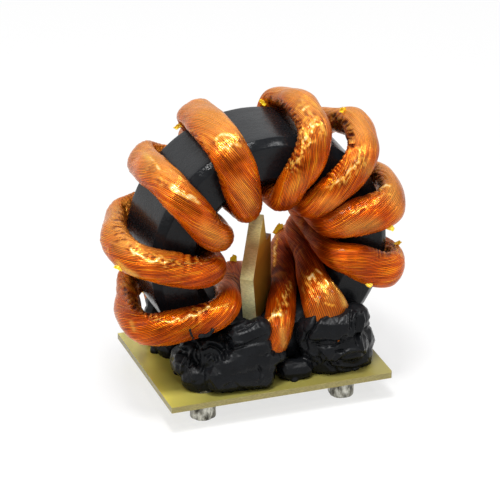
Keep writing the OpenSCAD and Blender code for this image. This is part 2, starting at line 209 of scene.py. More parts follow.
RIGHT_PATH = (
    by_pin(PIN_X, -PIN_Y)
    + [by_plate(PIN_X - 0.4, -(FACE_Y - 0.8), 5.6, 7.6, 6.6),
       at(305, MID_R + 2, -(FACE_Y + 0.8), 9.8, 6.4),
       at(306.5, MID_R - 2.6, -(FACE_Y + 0.2), 11.6, 6),
       at(313, MID_R - 6.8, -(FACE_Y - 1), 10.8, 6.2),
       at(320, BORE_R - 0.1, -(FACE_Y - 6.6), 8.4, 6),
       at(335, BORE_R - 0.2, 0, BORE_W, BORE_T),
       at(341, BORE_R - 0.2, FACE_Y - 8, BORE_W, BORE_T),
       at(342, BORE_R + 1.6, FACE_Y - 2.4, BORE_W + 0.2, BORE_T),
       at(342, MID_R - 5.2, FACE_Y, 8, BORE_T)]
    + TURN_R4 + TURN_R3 + TURN_R2 + TURN_R1
    + [at(88, MID_R - 4.6, FACE_Y + 3, 8.4),
       at(68, MID_R - 3.6, REAR_Y),
       at(38, MID_R - 2.2, REAR_Y),
       at(8, MID_R - 1.2, REAR_Y),
       at(338, MID_R - 1, REAR_Y, 8.2),
       at(321, MID_R - 5.6, FACE_Y + 3, 7.6),
       at(317, BORE_R + 0.9, FACE_Y - 2.8, 7.2, BORE_T),
       at(310, BORE_R - 0.2, FACE_Y - 10, BORE_W, BORE_T),
       at(299, BORE_R - 0.2, -1, BORE_W, BORE_T),
       at(285, BORE_R - 0.2, -(FACE_Y - 8), 7.2, BORE_T),
       at(275, BORE_R + 1.2, -(FACE_Y - 2.3), 7.8, BORE_T),
       at(268, MID_R - 5.4, -(FACE_Y + 0.2), 8.2, 6.8),
       at(264, MID_R - 0.8, -(FACE_Y + 0.7), 8.2, 6.8),
       by_plate(CORE_X - 6.2, -(FACE_Y + 0.8), 6.4, 8, 6.8),
       by_plate(CORE_X - 11.6, -(FACE_Y + 0.2), 5.4, 7, 6.8),
       by_plate(-PIN_X + 2.6, -(FACE_Y - 1), 5.4, 5.8, 6.8)]
    + by_pin(-PIN_X, -PIN_Y)[::-1])


def bow(a, b, c, d, u):
    """A curve from b to c that leaves b in line with a and c, and reaches c in line with b and d."""
    return 0.5 * (2 * b + (c - a) * u + (2 * a - 5 * b + 4 * c - d) * u ** 2
                  + (3 * b - a - 3 * c + d) * u ** 3)


def smooth_line(path, steps=24):
    """Centre line with width and thickness, as rows of x, y, z, w, t."""
    p = np.array(path, float)
    q = np.vstack([2 * p[0] - p[1], p, 2 * p[-1] - p[-2]])
    u = np.arange(steps)[:, None] / steps
    rows = [bow(q[i - 1], q[i], q[i + 1], q[i + 2], u) for i in range(1, len(p))]
    return np.vstack(rows + [p[-1:]])


def unit(v):
    return v / np.maximum(np.linalg.norm(v, axis=-1, keepdims=True), 1e-9)


def outward(v):
    """From the middle of the core's section out to each point."""
    a = np.arctan2(v[:, 2] - CORE_Z, v[:, 0] - CORE_X)
    return v - np.c_[CORE_X + MID_R * np.cos(a), np.zeros(len(v)), CORE_Z + MID_R * np.sin(a)]


# ---- node graphs
class Value:
    """A node's output. Each sum or product with it adds a math node."""

    def __init__(self, graph, socket):
        self.graph, self.socket = graph, socket

    def __add__(self, other):
        return self.graph.math("ADD", self, other)

    def __sub__(self, other):
        return self.graph.math("SUBTRACT", self, other)

    def __rsub__(self, other):
        return self.graph.math("SUBTRACT", other, self)

    def __mul__(self, other):
        return self.graph.math("MULTIPLY", self, other)

    def __truediv__(self, other):
        return self.graph.math("DIVIDE", self, other)


class Graph:
    """The nodes of a world or of a new material with the name given. An input is a number, a colour
    or a Value."""

    def __init__(self, owner, ending="OutputMaterial"):
        if isinstance(owner, str):
            owner = bpy.data.materials.new(owner)
        owner.use_nodes = True
        self.owner, self.tree = owner, owner.node_tree
        self.tree.nodes.clear()
        self.ending = self.node(ending)

    def put(self, socket, value):
        if isinstance(value, Value):
            self.tree.links.new(value.socket, socket)
        elif isinstance(value, tuple):
            socket.default_value = (*value, 1) if socket.type == "RGBA" else value
        else:
            socket.default_value = value

    def node(self, kind, inputs=None, **settings):
        n = self.tree.nodes.new("ShaderNode" + kind)
        for key, value in settings.items():
            setattr(n, key, value)
        for key, value in (inputs or {}).items():
            self.put(n.inputs[key], value)
        return n

    def get(self, kind, output=0, inputs=None, **settings):
        """Adds a node and gives one of its outputs."""
        return Value(self, self.node(kind, inputs, **settings).outputs[output])

    def end(self, shader):
        self.put(self.ending.inputs[0], shader)

    def surface(self, **inputs):
        """Ends the graph in one surface, its inputs named with _ for a space, and gives the material."""
        self.end(self.get("BsdfPrincipled", 0, {k.replace("_", " "): v for k, v in inputs.items()}))
        return self.owner

    def math(self, operation, a, b=0.0, clamp=False):
        return self.get("Math", 0, {0: a, 1: b}, operation=operation, use_clamp=clamp)

    def mix(self, share, a, b, blend="MIX"):
        return self.get("Mix", 2, {0: share, 6: a, 7: b}, data_type="RGBA", blend_type=blend)

    def tint(self, colour, by, share=1.0):
        return self.mix(share, colour, by, "MULTIPLY")

    def ramp(self, by, *stops):
        """Colours, or greys as one number, each at its place from 0 to 1."""
        n = self.node("ValToRGB", {0: by})
        marks = n.color_ramp.elements
        while len(marks) < len(stops):
            marks.new(0.5)
        for i, (place, colour) in enumerate(stops):
            marks[i].position = place
            marks[i].color = (*colour, 1) if isinstance(colour, tuple) else (colour, colour, colour, 1)
        return Value(self, n.outputs[0])

    def noise(self, vector, scale, detail, rough, kind="FBM"):
        return self.get("TexNoise", 0, {"Scale": scale, "Detail": detail, "Roughness": rough,
                                        "Vector": vector}, noise_type=kind)

    def uv_noise(self, uv, across, along, detail, rough, kind="FBM"):
        """Noise that changes at its own rate round the bundle and along it."""
        return self.noise(self.stretch(uv, (across, along, 1)), 1.0, detail, rough, kind)

    def stretch(self, vector, scale):
        return self.get("Mapping", 0, {"Scale": scale, "Vector": vector})

    def bump(self, height, strength, distance, **more):
        return self.get("Bump", 0, {"Strength": strength, "Distance": distance, "Height": height, **more})

    def split(self, vector):
        n = self.node("SeparateXYZ", {0: vector})
        return [Value(self, output) for output in n.outputs]

    def place(self):
        return self.get("TexCoord", "Object")


# ---- materials
# GOLD and CREAM colour the painted highlights, PALE_GOLD the painted light on the outer tops
GOLD, PALE_GOLD, CREAM = (1.0, 0.46, 0.05), (1.0, 0.50, 0.11), (1.0, 0.80, 0.42)


def copper_material():
    """Enamelled strands under clear film. UV: u round the bundle, v along it in centimetres."""
    g = Graph("copper_bundle")
    uv = g.get("UVMap", uv_map="strands")
    fold, valley, crinkle, shade, painted_top_light, tuck, glint, pale_film_and_light, from_end, bore = [
        g.get("Attribute", "Fac", attribute_name=name) for name in
        ("fold", "valley", "crinkle", "shade", "painted_top_light", "tuck", "glint", "pale_film_and_light", "from_end", "bore")]
    place = g.place()

    # one strand for each whole step of u, its edges at the whole numbers
    u, v, _ = g.split(uv)
    count = u * STRANDS + g.uv_noise(uv, 5.0, 1.3, 2.0, 0.5) * 1.8
    edge = g.math("ABSOLUTE", g.math("FRACT", count) - 0.5) * 2.0
    strand = g.math("FLOOR", count)
    own = g.noise(g.get("CombineXYZ", 0, {0: strand * 7.31, 1: v * 1.6}), 1.0, 1.0, 0.5)
    fine = g.uv_noise(uv, 150, 1.6, 2.0, 0.6)
    patch, broad = g.noise(place, 150.0, 2.0, 0.5), g.noise(place, 55.0, 2.0, 0.5)
    soft = g.noise(place, 620.0, 1.0, 0.5)
    colour = g.ramp(own * 0.7 + fine * 0.3, (0.34, (0.42, 0.052, 0.001)), (0.46, (0.70, 0.104, 0.001)),
                    (0.55, (0.90, 0.165, 0.002)), (0.67, (1.0, 0.320, 0.010)))
    # dark gaps between strands, stronger in some patches than in others
    gap = g.ramp(edge, (0.40, 1), (0.78, (0.03, 0.006, 0.002)))
    where = g.math("MAXIMUM", g.ramp(patch, (0.36, 0.45), (0.52, 1)), shade)
    colour = g.mix(where, colour, g.tint(colour, gap))
    colour = g.tint(colour, g.ramp(broad, (0.38, (0.80, 0.62, 0.50)), (0.54, 1)))
    # painted light on the upward outer tops; darker and browner within 30 mm of the soldered ends; painted
    # shade, darker and redder, in the hole
    colour = g.mix(painted_top_light * 0.45, colour, PALE_GOLD)
    colour = g.mix(g.ramp(from_end / 100.0, (0.16, 0.75), (0.30, 0)), colour, (0.27, 0.072, 0.006))
    # painted shade: the copper inside the hole is darkened and reddened
    colour = g.mix(bore * 0.6, colour, g.tint(colour, (0.62, 0.34, 0.25)))
    # paler yellow film, and painted light where the rows are wide and faint
    colour = g.mix(pale_film_and_light * 0.75, colour, (0.85, 0.50, 0.10))
    # painted shade: film turned nearly black-red along the SHADES lines
    colour = g.mix(shade * g.ramp(fine, (0.40, 0.90), (0.62, 0.36)), colour, (0.07, 0.006, 0.0004))
    # gathers and folds: painted shade in their grooves and painted highlights on their crests
    colour = g.tint(colour, g.ramp(valley, (0.06, 1), (0.55, (0.38, 0.16, 0.08))))
    colour = g.tint(colour, g.ramp(tuck * -1.0, (0.05, 1), (0.55, (0.16, 0.03, 0.01))))
    colour = g.mix(g.math("MULTIPLY", tuck, 0.5, True), colour, (1.0, 0.50, 0.10))
    crest = g.math("MULTIPLY", fold - valley * 2.5, 0.45, True)
    colour = g.mix(crest, colour, (1.0, 0.42, 0.05))
    # painted highlights on the film's wiggly creases, with painted dark reflections between them
    wiggle = g.uv_noise(uv, 26.0, 5.5, 3.0, 0.6)
    line = g.ramp(wiggle, (0.535, 0), (0.595, 1))
    between = g.ramp(wiggle, (0.38, (0.30, 0.12, 0.05)), (0.52, 1))
    colour = g.mix(crinkle, colour, g.tint(colour, between))
    colour = g.mix(line * (crinkle * 0.75), colour, (1.0, 0.62, 0.12))
    # painted highlights on folds of the film: golden at their edges, cream in the middle
    glint = glint * (fine * 2.6 + soft * 2.0 - 1.35)
    colour = g.mix(g.ramp(glint, (0.15, 0), (0.60, 0.7)), colour, GOLD)
    colour = g.mix(g.ramp(glint, (0.58, 0), (0.95, 0.9)), colour, CREAM)

    # the film's creases and fine crinkle, on the coat everywhere and on the strands where it sticks
    crease = g.uv_noise(uv, 9.0, 11.0, 1.0, 0.5, "RIDGED_MULTIFRACTAL")
    film = (fold * 0.5 + crinkle + 0.22) * (crease * 0.6 + soft * 1.6)
    stuck = g.bump(film * crinkle, 1.0, 0.00030)
    rounded = (1.0 - edge * edge) + fine * 0.7
    rough = g.ramp(own, (0.3, 0.32), (0.7, 0.22)) - g.math("MULTIPLY", crinkle, 0.10, True) + bore * 0.22
    coat = g.ramp(g.math("MAXIMUM", shade, bore), (0.1, 0.30), (0.8, 0.05))
    return g.surface(Base_Color=colour, Metallic=0.55, Roughness=rough,
                     Normal=g.bump(rounded, 0.8, 0.00012, Normal=stuck), Specular_IOR_Level=0.10,
                     Specular_Tint=(1.0, 0.62, 0.30), Coat_Weight=coat, Coat_Roughness=0.09, Coat_IOR=1.32,
                     Coat_Tint=(1.0, 0.93, 0.80), Coat_Normal=g.bump(film, 1.0, 0.00050))


def coating_material(name, level, low_rough):
    """Grey-black core coating with a fine orange peel."""
    g = Graph(name)
    place = g.place()
    peel, fine = g.noise(place, 950.0, 2.0, 0.5), g.noise(place, 2600.0, 2.0, 0.5)
    broad = g.noise(place, 90.0, 3.0, 0.5)
    colour = g.ramp(broad, (0.3, (0.006, 0.0068, 0.0082)), (0.7, (0.010, 0.0112, 0.0132)))
    # the hole is dusted over and duller than the faces
    x, _, z = g.split(place)
    x, z = x - CORE_X * MM, z - CORE_Z * MM
    inside = g.math("LESS_THAN", g.math("SQRT", x * x + z * z), (HOLE_R + 0.4) * MM)
    rough = g.math("ADD", g.ramp(peel, (0.3, low_rough), (0.7, low_rough + 0.12)), inside * 0.5, True)
    return g.surface(Base_Color=colour, Roughness=rough, Specular_IOR_Level=level,
                     Normal=g.bump(peel + fine * 0.35, 0.35, 0.00012))


def laminate_material(name, face, edge, weave_scale, is_plate):
    """Woven glass laminate. The cut edges show pale fibre layers."""
    g = Graph(name)
    place = g.place()
    _, normal_y, normal_z = g.split(g.get("NewGeometry", "True Normal"))
    broad, speck = g.noise(place, 60.0, 3.0, 0.55), g.noise(g.stretch(place, (1, 1, 3)), 1500.0, 2.0, 0.6)
    across, along = [g.get("TexWave", "Fac", {"Scale": weave_scale, "Distortion": 0.6, "Vector": place},
                           wave_type="BANDS", bands_direction=way) for way in "XY"]
    cloth = across + along
    body = g.ramp(broad, (0.3, tuple(0.86 * c for c in face)), (0.7, face))
    body = g.tint(body, g.ramp(cloth * 0.5, (0.2, (0.95, 0.95, 0.93)), (0.8, 1)), 0.7)
    fibres = g.ramp(speck, (0.35, tuple(0.72 * c for c in edge)), (0.65, edge))
    x, y, z = g.split(place)
    if is_plate:
        side = g.math("LESS_THAN", g.math("ABSOLUTE", normal_z), 0.5)
        # painted light: paler at the left and the back, 0 at the left rear corner, 1 at the right front one
        far = x * (0.74 / (PLATE_X * MM)) - y * (0.26 / (PLATE_Y * MM)) + 0.5
        body = g.tint(body, g.ramp(
            far, (0.02, (2.75, 2.85, 3.7)), (0.13, (2.5, 2.4, 2.1)), (0.20, (1.85, 1.85, 1.5)),
            (0.26, (1.25, 1.27, 1.15)), (0.38, (0.72, 0.76, 0.78)), (0.72, (0.66, 0.68, 0.72)),
            (0.89, (0.67, 0.67, 0.78)), (0.97, (0.8, 0.8, 0.82))))
    else:
        side = g.math("GREATER_THAN", normal_y * -1.0, 0.62)
        # painted light and shade by height, 0 at 10 mm below the core's axis and 1 at 10 mm above it: a
        # painted copper reflection across the middle of the front edge, and side faces shaded low and much
        # paler at the top
        high = (z - (CORE_Z - 10) * MM) * 50.0
        fibres = g.tint(fibres, g.ramp(
            high, (0.08, (1.35, 1.45, 1.55)), (0.24, (0.91, 0.87, 0.78)), (0.40, (0.73, 0.50, 0.34)),
            (0.58, (0.78, 0.46, 0.29)), (0.75, (1.45, 1.35, 1.15)), (0.84, (1.6, 1.55, 1.5))))
        body = g.tint(body, g.ramp(
            high, (0.0, (0.64, 0.70, 0.48)), (0.36, (1.0, 0.74, 0.48)), (0.54, (1.7, 1.35, 0.68)),
            (0.70, (2.7, 3.6, 4.4)), (0.88, (2.9, 4.2, 5.6))))
    return g.surface(Base_Color=g.mix(side, body, fibres), Roughness=0.34, Specular_IOR_Level=0.30,
                     Normal=g.bump(speck * side + cloth * 0.12, 0.4, 0.00008), Coat_Weight=0.1,
                     Coat_Roughness=0.2, Subsurface_Weight=0.2, Subsurface_Radius=(0.002, 0.0015, 0.0008),
                     Subsurface_Scale=0.5)


def adhesive_material():
    """Semi-gloss blue-black silicone."""
    g = Graph("black_adhesive")
    place = g.place()
    broad, fine = g.noise(place, 240.0, 4.0, 0.6), g.noise(place, 1400.0, 3.0, 0.6)
    upward = g.split(g.get("NewGeometry", "Normal"))[2]
    rough = g.ramp(broad, (0.35, 0.15), (0.65, 0.36)) + g.ramp(upward, (0.35, 0), (0.75, 0.11))
    colour = g.ramp(broad, (0.3, (0.0040, 0.0044, 0.0052)), (0.7, (0.0070, 0.0077, 0.0090)))
    return g.surface(Base_Color=colour, Roughness=rough, Specular_IOR_Level=0.12,
                     Normal=g.bump(broad + fine * 0.12, 0.2, 0.0004))


def solder_material():
    """Uneven tin skin over the bundle's end."""
    g = Graph("tinned_copper")
    place = g.place()
    broad, fine = g.noise(g.stretch(place, (1, 1, 0.5)), 520.0, 4.0, 0.6), g.noise(place, 2400.0, 3.0, 0.6)
    colour = g.ramp(broad, (0.38, (0.05, 0.046, 0.036)), (0.50, (0.29, 0.28, 0.235)),
                    (0.62, (0.70, 0.69, 0.62)))
    return g.surface(Base_Color=colour, Metallic=0.85, Roughness=g.ramp(fine, (0.3, 0.32), (0.7, 0.55)),
                     Normal=g.bump(broad + fine * 0.3, 0.7, 0.0004))


def film_material():
    """Yellowish end of the clear film, with a painted glow."""
    g = Graph("yellow_film")
    broad = g.noise(g.place(), 900.0, 3.0, 0.6)
    colour = g.ramp(broad, (0.35, (0.62, 0.30, 0.008)), (0.6, (0.98, 0.72, 0.03)))
    # the emission is a painted glow that keeps the film bright where it lies in shade
    return g.surface(Base_Color=colour, Roughness=0.22, Normal=g.bump(broad, 0.5, 0.0002),
                     Subsurface_Weight=0.4, Subsurface_Radius=(0.001, 0.0008, 0.0002), Coat_Weight=0.3,
                     Coat_Roughness=0.06, Emission_Color=(0.95, 0.60, 0.02), Emission_Strength=0.22)


# ---- mesh helpers
def mesh_object(name, verts, faces, material):
    me = bpy.data.meshes.new(name)
    me.from_pydata([tuple(v) for v in np.asarray(verts) * MM], [], [tuple(int(i) for i in f) for f in faces])
    me.materials.append(material)
    me.polygons.foreach_set("use_smooth", [True] * len(me.polygons))
    me.update()
    return in_scene(name, me)


def tube_faces(rings, m, closed=False):
    """Faces between rings of m points, and from the last ring to the first where the tube is closed."""
    return [(k * m + j, k * m + (j + 1) % m, (k + 1) % rings * m + (j + 1) % m, (k + 1) % rings * m + j)
            for k in range(rings if closed else rings - 1) for j in range(m)]


def at_vertices(mesh, what):
    """Each vertex's place (co, in metres) or normal, as rows of x, y, z."""
    values = np.zeros(len(mesh.vertices) * 3)
    mesh.vertices.foreach_get(what, values)
    return values.reshape(-1, 3)


def set_attribute(o, name, values):
    a = o.data.attributes.new(name, "FLOAT", "POINT")
    a.data.foreach_set("value", np.asarray(values, float).reshape(-1))


def ease(f):
    return f * f * (3 - 2 * f)


def value_noise(seed, n, period, rows=1):
    """Smooth random lines: rows of n samples that change over period samples."""
    rng = np.random.default_rng(seed)
    knots = rng.random((rows, int(n / period) + 4))
    x = np.arange(n) / period
    i = x.astype(int)
    f = ease(x - i)
    return knots[:, i] * (1 - f) + knots[:, i + 1] * f


# ---- bundles
STRANDS = 64
AROUND = 80                     # points in a ring round the bundle
LUMP_STEP = 8                   # points from one sample of the lumps to the next
TWIST_PER_MM = 2 * math.pi / 78
ROUTE_STEP = 0.25
FINE_STEP, FRONT_STEP, COARSE_STEP = 0.46, 0.55, 1.3
SHARP_BEND = 0.045              # curvature, per mm, from which the inside of a bend is fully gathered
GATHER_LENGTH, GATHER_DEPTH, GATHER_SWELL = 1.7, 0.46, 0.08


def blur(values, sigma):
    """Gaussian smoothing along the route, in mm, with the ends held."""
    half = int(3 * sigma / ROUTE_STEP) + 1
    x = np.arange(-half, half + 1) * ROUTE_STEP
    kernel = np.exp(-0.5 * (x / sigma) ** 2)
    kernel /= kernel.sum()
    padded = np.pad(values, [(half, half)] + [(0, 0)] * (values.ndim - 1), mode="reflect", reflect_type="odd")
    if values.ndim == 1:
        return np.convolve(padded, kernel, "valid")
    return np.stack([np.convolve(column, kernel, "valid") for column in padded.T], axis=1)


def resample(where, grid, rows):
    return np.stack([np.interp(where, grid, column) for column in rows.T], axis=1)


def even_route(path):
    """The route at even spacing, its wander round the core smoothed more than its section."""
    line = smooth_line(path)
    s = np.r_[0, np.cumsum(np.linalg.norm(np.diff(line[:, :3], axis=0), axis=1))]
    grid = np.arange(0, s[-1], ROUTE_STEP)
    even = resample(grid, s, line)
    dx, dz = even[:, 0] - CORE_X, even[:, 2] - CORE_Z
    angle = blur(np.unwrap(np.arctan2(dz, dx)), 4.6)
    r, y = blur(np.hypot(dx, dz), 1.1), blur(even[:, 1], 1.1)
    soft = np.stack([CORE_X + r * np.cos(angle), y, CORE_Z + r * np.sin(angle)], axis=1)
    # the ends stay where the pins are
    free = np.clip(np.minimum(grid, grid[-1] - grid) / 14, 0, 1)[:, None]
    even[:, :3] = even[:, :3] * (1 - free) + soft * free
    even[:, 3:] = blur(even[:, 3:], 1.5)
    return grid, even


def bundle(name, node, path, seed, material):
    """A bundle of strands drawn along its route, gathered into folds on the inside of each bend."""
    grid, even = even_route(path)
    tan = unit(blur(np.gradient(even[:, :3], ROUTE_STEP, axis=0), 1.0))
    curve = blur(np.gradient(tan, ROUTE_STEP, axis=0), 2.4)
    bend = np.linalg.norm(curve, axis=1)

    # rings lie closer together where the bundle bends, and in front
    step = np.interp(bend, [0.012, SHARP_BEND], [COARSE_STEP, FINE_STEP])
    step = np.where(even[:, 1] < -7, np.minimum(step, FRONT_STEP), step)
    cum = np.cumsum(ROUTE_STEP / step)
    where = np.interp(np.linspace(cum[0], cum[-1], int(cum[-1])), cum, grid)
    ring, pull = resample(where, grid, even), resample(where, grid, curve)
    t = unit(resample(where, grid, tan))
    o = outward(ring[:, :3])
    n = unit(o - np.sum(o * t, axis=1, keepdims=True) * t)
    b = np.cross(t, n)
    m, rings = AROUND, len(ring)

    # the twist runs out towards the soldered ends
    from_end = np.minimum(grid, grid[-1] - grid)
    rate = TWIST_PER_MM * (np.clip((from_end - 22) / 30, 0, 1) * 1.25 - 0.25)
    twist = np.interp(where, grid, np.cumsum(rate) * ROUTE_STEP)
    theta = (2 * math.pi * np.arange(m) / m)[None, :] + twist[:, None]
    w, th = ring[:, 3:4] / 2, ring[:, 4:5] / 2
    off = b[:, None, :] * (w * np.cos(theta))[..., None] + n[:, None, :] * (th * np.sin(theta))[..., None]
    side = unit(off)
    bend = np.linalg.norm(pull, axis=1, keepdims=True)
    inner = np.einsum("rjk,rk->rj", side, pull / np.maximum(bend, 1e-6)) * np.clip(bend / SHARP_BEND, 0, 1)
    fold = ease(np.clip((inner + 0.25) / 0.95, 0, 1))

    # unevenness that runs along the strands, and lumps of the whole bundle
    grow = 0.16 * (np.repeat(value_noise(seed, rings, 40, m // 2).T, 2, axis=1) - 0.5)
    lump = np.array([[noise.noise(Vector((math.cos(q) * 1.1, math.sin(q) * 1.1, x * 0.13 + seed)))
                      for q in row] for row, x in zip(theta[:, ::LUMP_STEP], where)])
    wrap = np.c_[lump, lump[:, :1]]
    lump = np.stack([np.interp(np.arange(m) / LUMP_STEP, np.arange(wrap.shape[1]), row) for row in wrap])
    grow = grow + 0.30 * lump - 0.05
    # gathers across the inside of the bends, each its own width, calmer at the rear
    along = where[:, None]
    warp = 1.5 * np.sin(theta * 2 + along * 0.21) + 0.9 * np.sin(theta * 5 - along * 0.5)
    jitter = 11 * value_noise(seed + 2, rings, 9).T
    valley = (0.5 + 0.5 * np.cos(along * 2 * math.pi / GATHER_LENGTH + warp + jitter)) ** 2.0
    share, ends = 0.5 + 0.5 * np.sin(theta), value_noise(seed + 3, rings, 7, 2).T
    size = 0.15 + 1.2 * (ends[:, :1] * share + ends[:, 1:] * (1 - share)) ** 1.4
    calm = np.interp(ring[:, 1], [1, 8], [1, 0.35])[:, None]
    grow = grow - GATHER_DEPTH * fold * valley * size * calm + GATHER_SWELL * fold * size
    points = ring[:, None, :3] + side * (np.linalg.norm(off, axis=2) + grow)[..., None]

    places = points.reshape(-1, 3)
    caps = [tuple(range(m)), tuple(range(rings * m - 1, (rings - 1) * m - 1, -1))]
    quads = [face[::-1] for face in tube_faces(rings, m)]
    obj = mesh_object(name, places, quads + caps, material)

    # the same corners as the quads: both at the far ring, then both at the near one
    j = np.arange(m)[None, :]
    left, right, low, high = [np.broadcast_to(v, (rings - 1, m)) for v in
                              (j / m, (j + 1) / m, where[:-1, None] / 10, where[1:, None] / 10)]
    corners = np.stack([left, high, right, high, right, low, left, low], axis=-1)
    flat = np.zeros(len(obj.data.loops) * 2)
    flat[:corners.size] = corners.reshape(-1)
    obj.data.uv_layers.new(name="strands").data.foreach_set("uv", flat)

    normals = at_vertices(obj.data, "normal")
    radial = unit(places - np.array([CORE_X, 0, CORE_Z])) * np.array([1, 0, 1])
    outside = np.clip(np.sum(unit(outward(places) + 1e-9) * radial, axis=1) * 1.4, 0, 1)
    above = np.clip((places[:, 2] - CORE_Z + 4) / 12, 0, 1)
    reach = np.hypot(points[..., 0] - CORE_X, points[..., 2] - CORE_Z)
    set_attribute(obj, "from_end", np.broadcast_to(np.minimum(along, where[-1] - along), fold.shape))
    set_attribute(obj, "fold", fold * (0.4 + 0.6 * size / 1.25))
    set_attribute(obj, "valley", fold * valley * calm)
    # painted shade in the hole: 0 where a point lies 2 mm in from the hole's wall, 1 from 6 mm in
    set_attribute(obj, "bore", np.clip((HOLE_R - 2 - reach) / 4, 0, 1))
    # painted light: more where a point faces up, on the outer side of the core and above its middle
    set_attribute(obj, "painted_top_light", np.clip(normals[:, 2], 0, 1) ** 1.5 * outside * above)
    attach(obj, "root")
    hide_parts(node)
    return obj


# ---- core
def core_ring(material, edge_material):
    """The coated ring with softly rounded chamfer edges."""
    half, c, soft = CORE_DEPTH / 2, CORE_CHAMFER, 0.35
    corners = np.array([(HOLE_R + c, -half), (CORE_R - c, -half), (CORE_R, -half + c), (CORE_R, half - c),
                        (CORE_R - c, half), (HOLE_R + c, half), (HOLE_R, half - c), (HOLE_R, -half + c)])
    profile = []
    for before, here, after in zip(np.roll(corners, 1, 0), corners, np.roll(corners, -1, 0)):
        a, b = here + unit(before - here) * soft, here + unit(after - here) * soft
        for u in (0, 0.33, 0.67, 1):
            profile.append((1 - u) ** 2 * a + 2 * u * (1 - u) * here + u * u * b)
        gap = np.linalg.norm(after - here) - 2 * soft
        parts = int(gap / 1.6) + 1
        for q in range(1, parts):
            profile.append(b + unit(after - here) * gap * (q / parts))
    rings, verts = 240, []
    for k in range(rings):
        a = 2 * math.pi * k / rings
        for r, y in profile:
            p = Vector((r * math.cos(a), y, r * math.sin(a)))
            wave = 0.05 * noise.noise(p * 0.22) + 0.025 * noise.noise(p * 0.8)
            r2 = r + wave - 0.03
            verts.append((CORE_X + r2 * math.cos(a), y + wave * (1 if y > 0 else -1) * 0.6,
                          CORE_Z + r2 * math.sin(a)))
    o = mesh_object("core_ring", verts, tube_faces(rings, len(profile), True), material)
    # the front chamfer's own finish: runs of thicker, glossier coating
    o.data.materials.append(edge_material)
    for f in o.data.polygons:
        p = f.center / MM
        r = math.hypot(p.x - CORE_X, p.z - CORE_Z)
        if p.y < -half + c and (r > CORE_R - c - 0.1 or r < HOLE_R + c + 0.1):
            f.material_index = 1
    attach(o, "root")
    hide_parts("core")
    return o


# ---- lines in the frame
def follow(px, line):
    """How far each place in px lies from a line, and how far along the line that is."""
    line = np.array(line, float).reshape(-1, 2)
    near, along, run = np.full(len(px), 1e9), np.zeros(len(px)), 0.0
    for p, q in zip(line[:-1], line[1:]):
        size = float(np.linalg.norm(q - p))
        f = np.clip(((px - p) @ (q - p)) / size ** 2, 0, 1)
        d = np.linalg.norm(px - (p + f[:, None] * (q - p)), axis=1)
        along = np.where(d < near, run + f * size, along)
        near = np.minimum(near, d)
        run += size
    return near, along


def strokes_relief(points, normals, rows):
    """Ridges and grooves along lines, on what faces the camera. A row is the height, the half width in px,
    then the x and y of each point in px."""
    px, facing = to_px(points), np.clip((normals @ AWAY) * 2.5, 0, 1)
    total = np.zeros(len(points))
    for height, width, *line in rows:
        near, _ = follow(px, line)
        total += height * np.exp(-(near / width) ** 2) * facing
    return total


def gathered(points, normals, rows):
    """Small folds across lines, 1 on a crest and -1 in a groove. A row is the strength, the half width and
    the length of one fold in px, then the x and y of each point in px."""
    px, facing = to_px(points), np.clip((normals @ AWAY) * 2.5 + 0.3, 0, 1)
    total = np.zeros(len(points))
    for strength, width, period, *line in rows:
        near, along = follow(px, line)
        wave = np.sin(2 * math.pi * along / period + 1.3 * np.sin(along * 0.9 + near * 0.35))
        total += strength * wave * np.exp(-(near / width) ** 2) * facing
    return total


def mark_film(bundles, others):
    """Creases and gathers, painted highlights, painted shade and paler film that is partly painted light, on
    those parts of the bundles that lie open at the front.
    """
    shapes = []
    for obj in bundles:
        points, normals = at_vertices(obj.data, "co") / MM, at_vertices(obj.data, "normal")
        marks = {name: np.clip(strokes_relief(points, normals, rows), 0, 1) for name, rows in
                 (("crinkle", CRINKLES), ("shade", SHADES), ("glint", GLINTS), ("pale_film_and_light", PALE_FILM_AND_LIGHT))}
        marks["tuck"] = gathered(points, normals, GATHERS)
        lies_open = np.zeros(len(points))
        for i in np.nonzero(sum(np.abs(v) for v in marks.values()) > 0.04)[0]:
            start = Vector(points[i] + normals[i] * 0.6) * MM
            way = (EYE - start).normalized()
            lies_open[i] = not any(o.ray_cast(start, way)[0] for o in bundles + others)
        for name, values in marks.items():
            set_attribute(obj, name, values * lies_open)
        shapes.append((obj, points + normals * (marks["tuck"] * lies_open * TUCK_DEPTH)[:, None]))
    for obj, points in shapes:
        obj.data.vertices.foreach_set("co", (points * MM).reshape(-1))
        obj.data.update()


TUCK_DEPTH = 0.22
# where the clear film is crinkled, with painted highlights and painted dark reflections on its creases, as
# rows for strokes_relief
CRINKLES = [
    (0.9, 6, 216, 142, 226, 142, 238, 142), (0.8, 4, 160, 180, 175, 190, 190, 199),
    (0.9, 4, 128, 249, 142, 256, 156, 260, 168, 263), (0.6, 2.5, 168, 263, 190, 264, 207, 261),
    (0.6, 2, 150, 318, 168, 322, 186, 320, 205, 310), (0.6, 2.2, 206, 310, 222, 306, 232, 306),
    (0.9, 7, 314, 118, 311, 130, 306, 142), (0.9, 5, 306, 142, 299, 156, 291, 168),
    (0.5, 5, 300, 102, 306, 112), (0.6, 4, 320, 120, 324, 134), (0.6, 5, 358, 148, 364, 156, 362, 168),
    (0.8, 5, 345, 177, 353, 168, 360, 158), (0.7, 3, 330, 186, 345, 178), (0.6, 4, 384, 186, 378, 200),
    (0.5, 3, 352, 212, 366, 207, 376, 203), (0.5, 4, 392, 248, 400, 256),
    (0.6, 5, 310, 276, 318, 282, 326, 292), (0.4, 4, 306, 290, 318, 302),
    (0.8, 4, 290, 282, 287, 300, 280, 314), (0.8, 4, 270, 318, 279, 312), (0.6, 3, 275, 240, 274, 262),
    (0.5, 3, 104, 255, 112, 246), (0.4, 4, 112, 215, 126, 208), (0.4, 4, 150, 168, 162, 172),
]
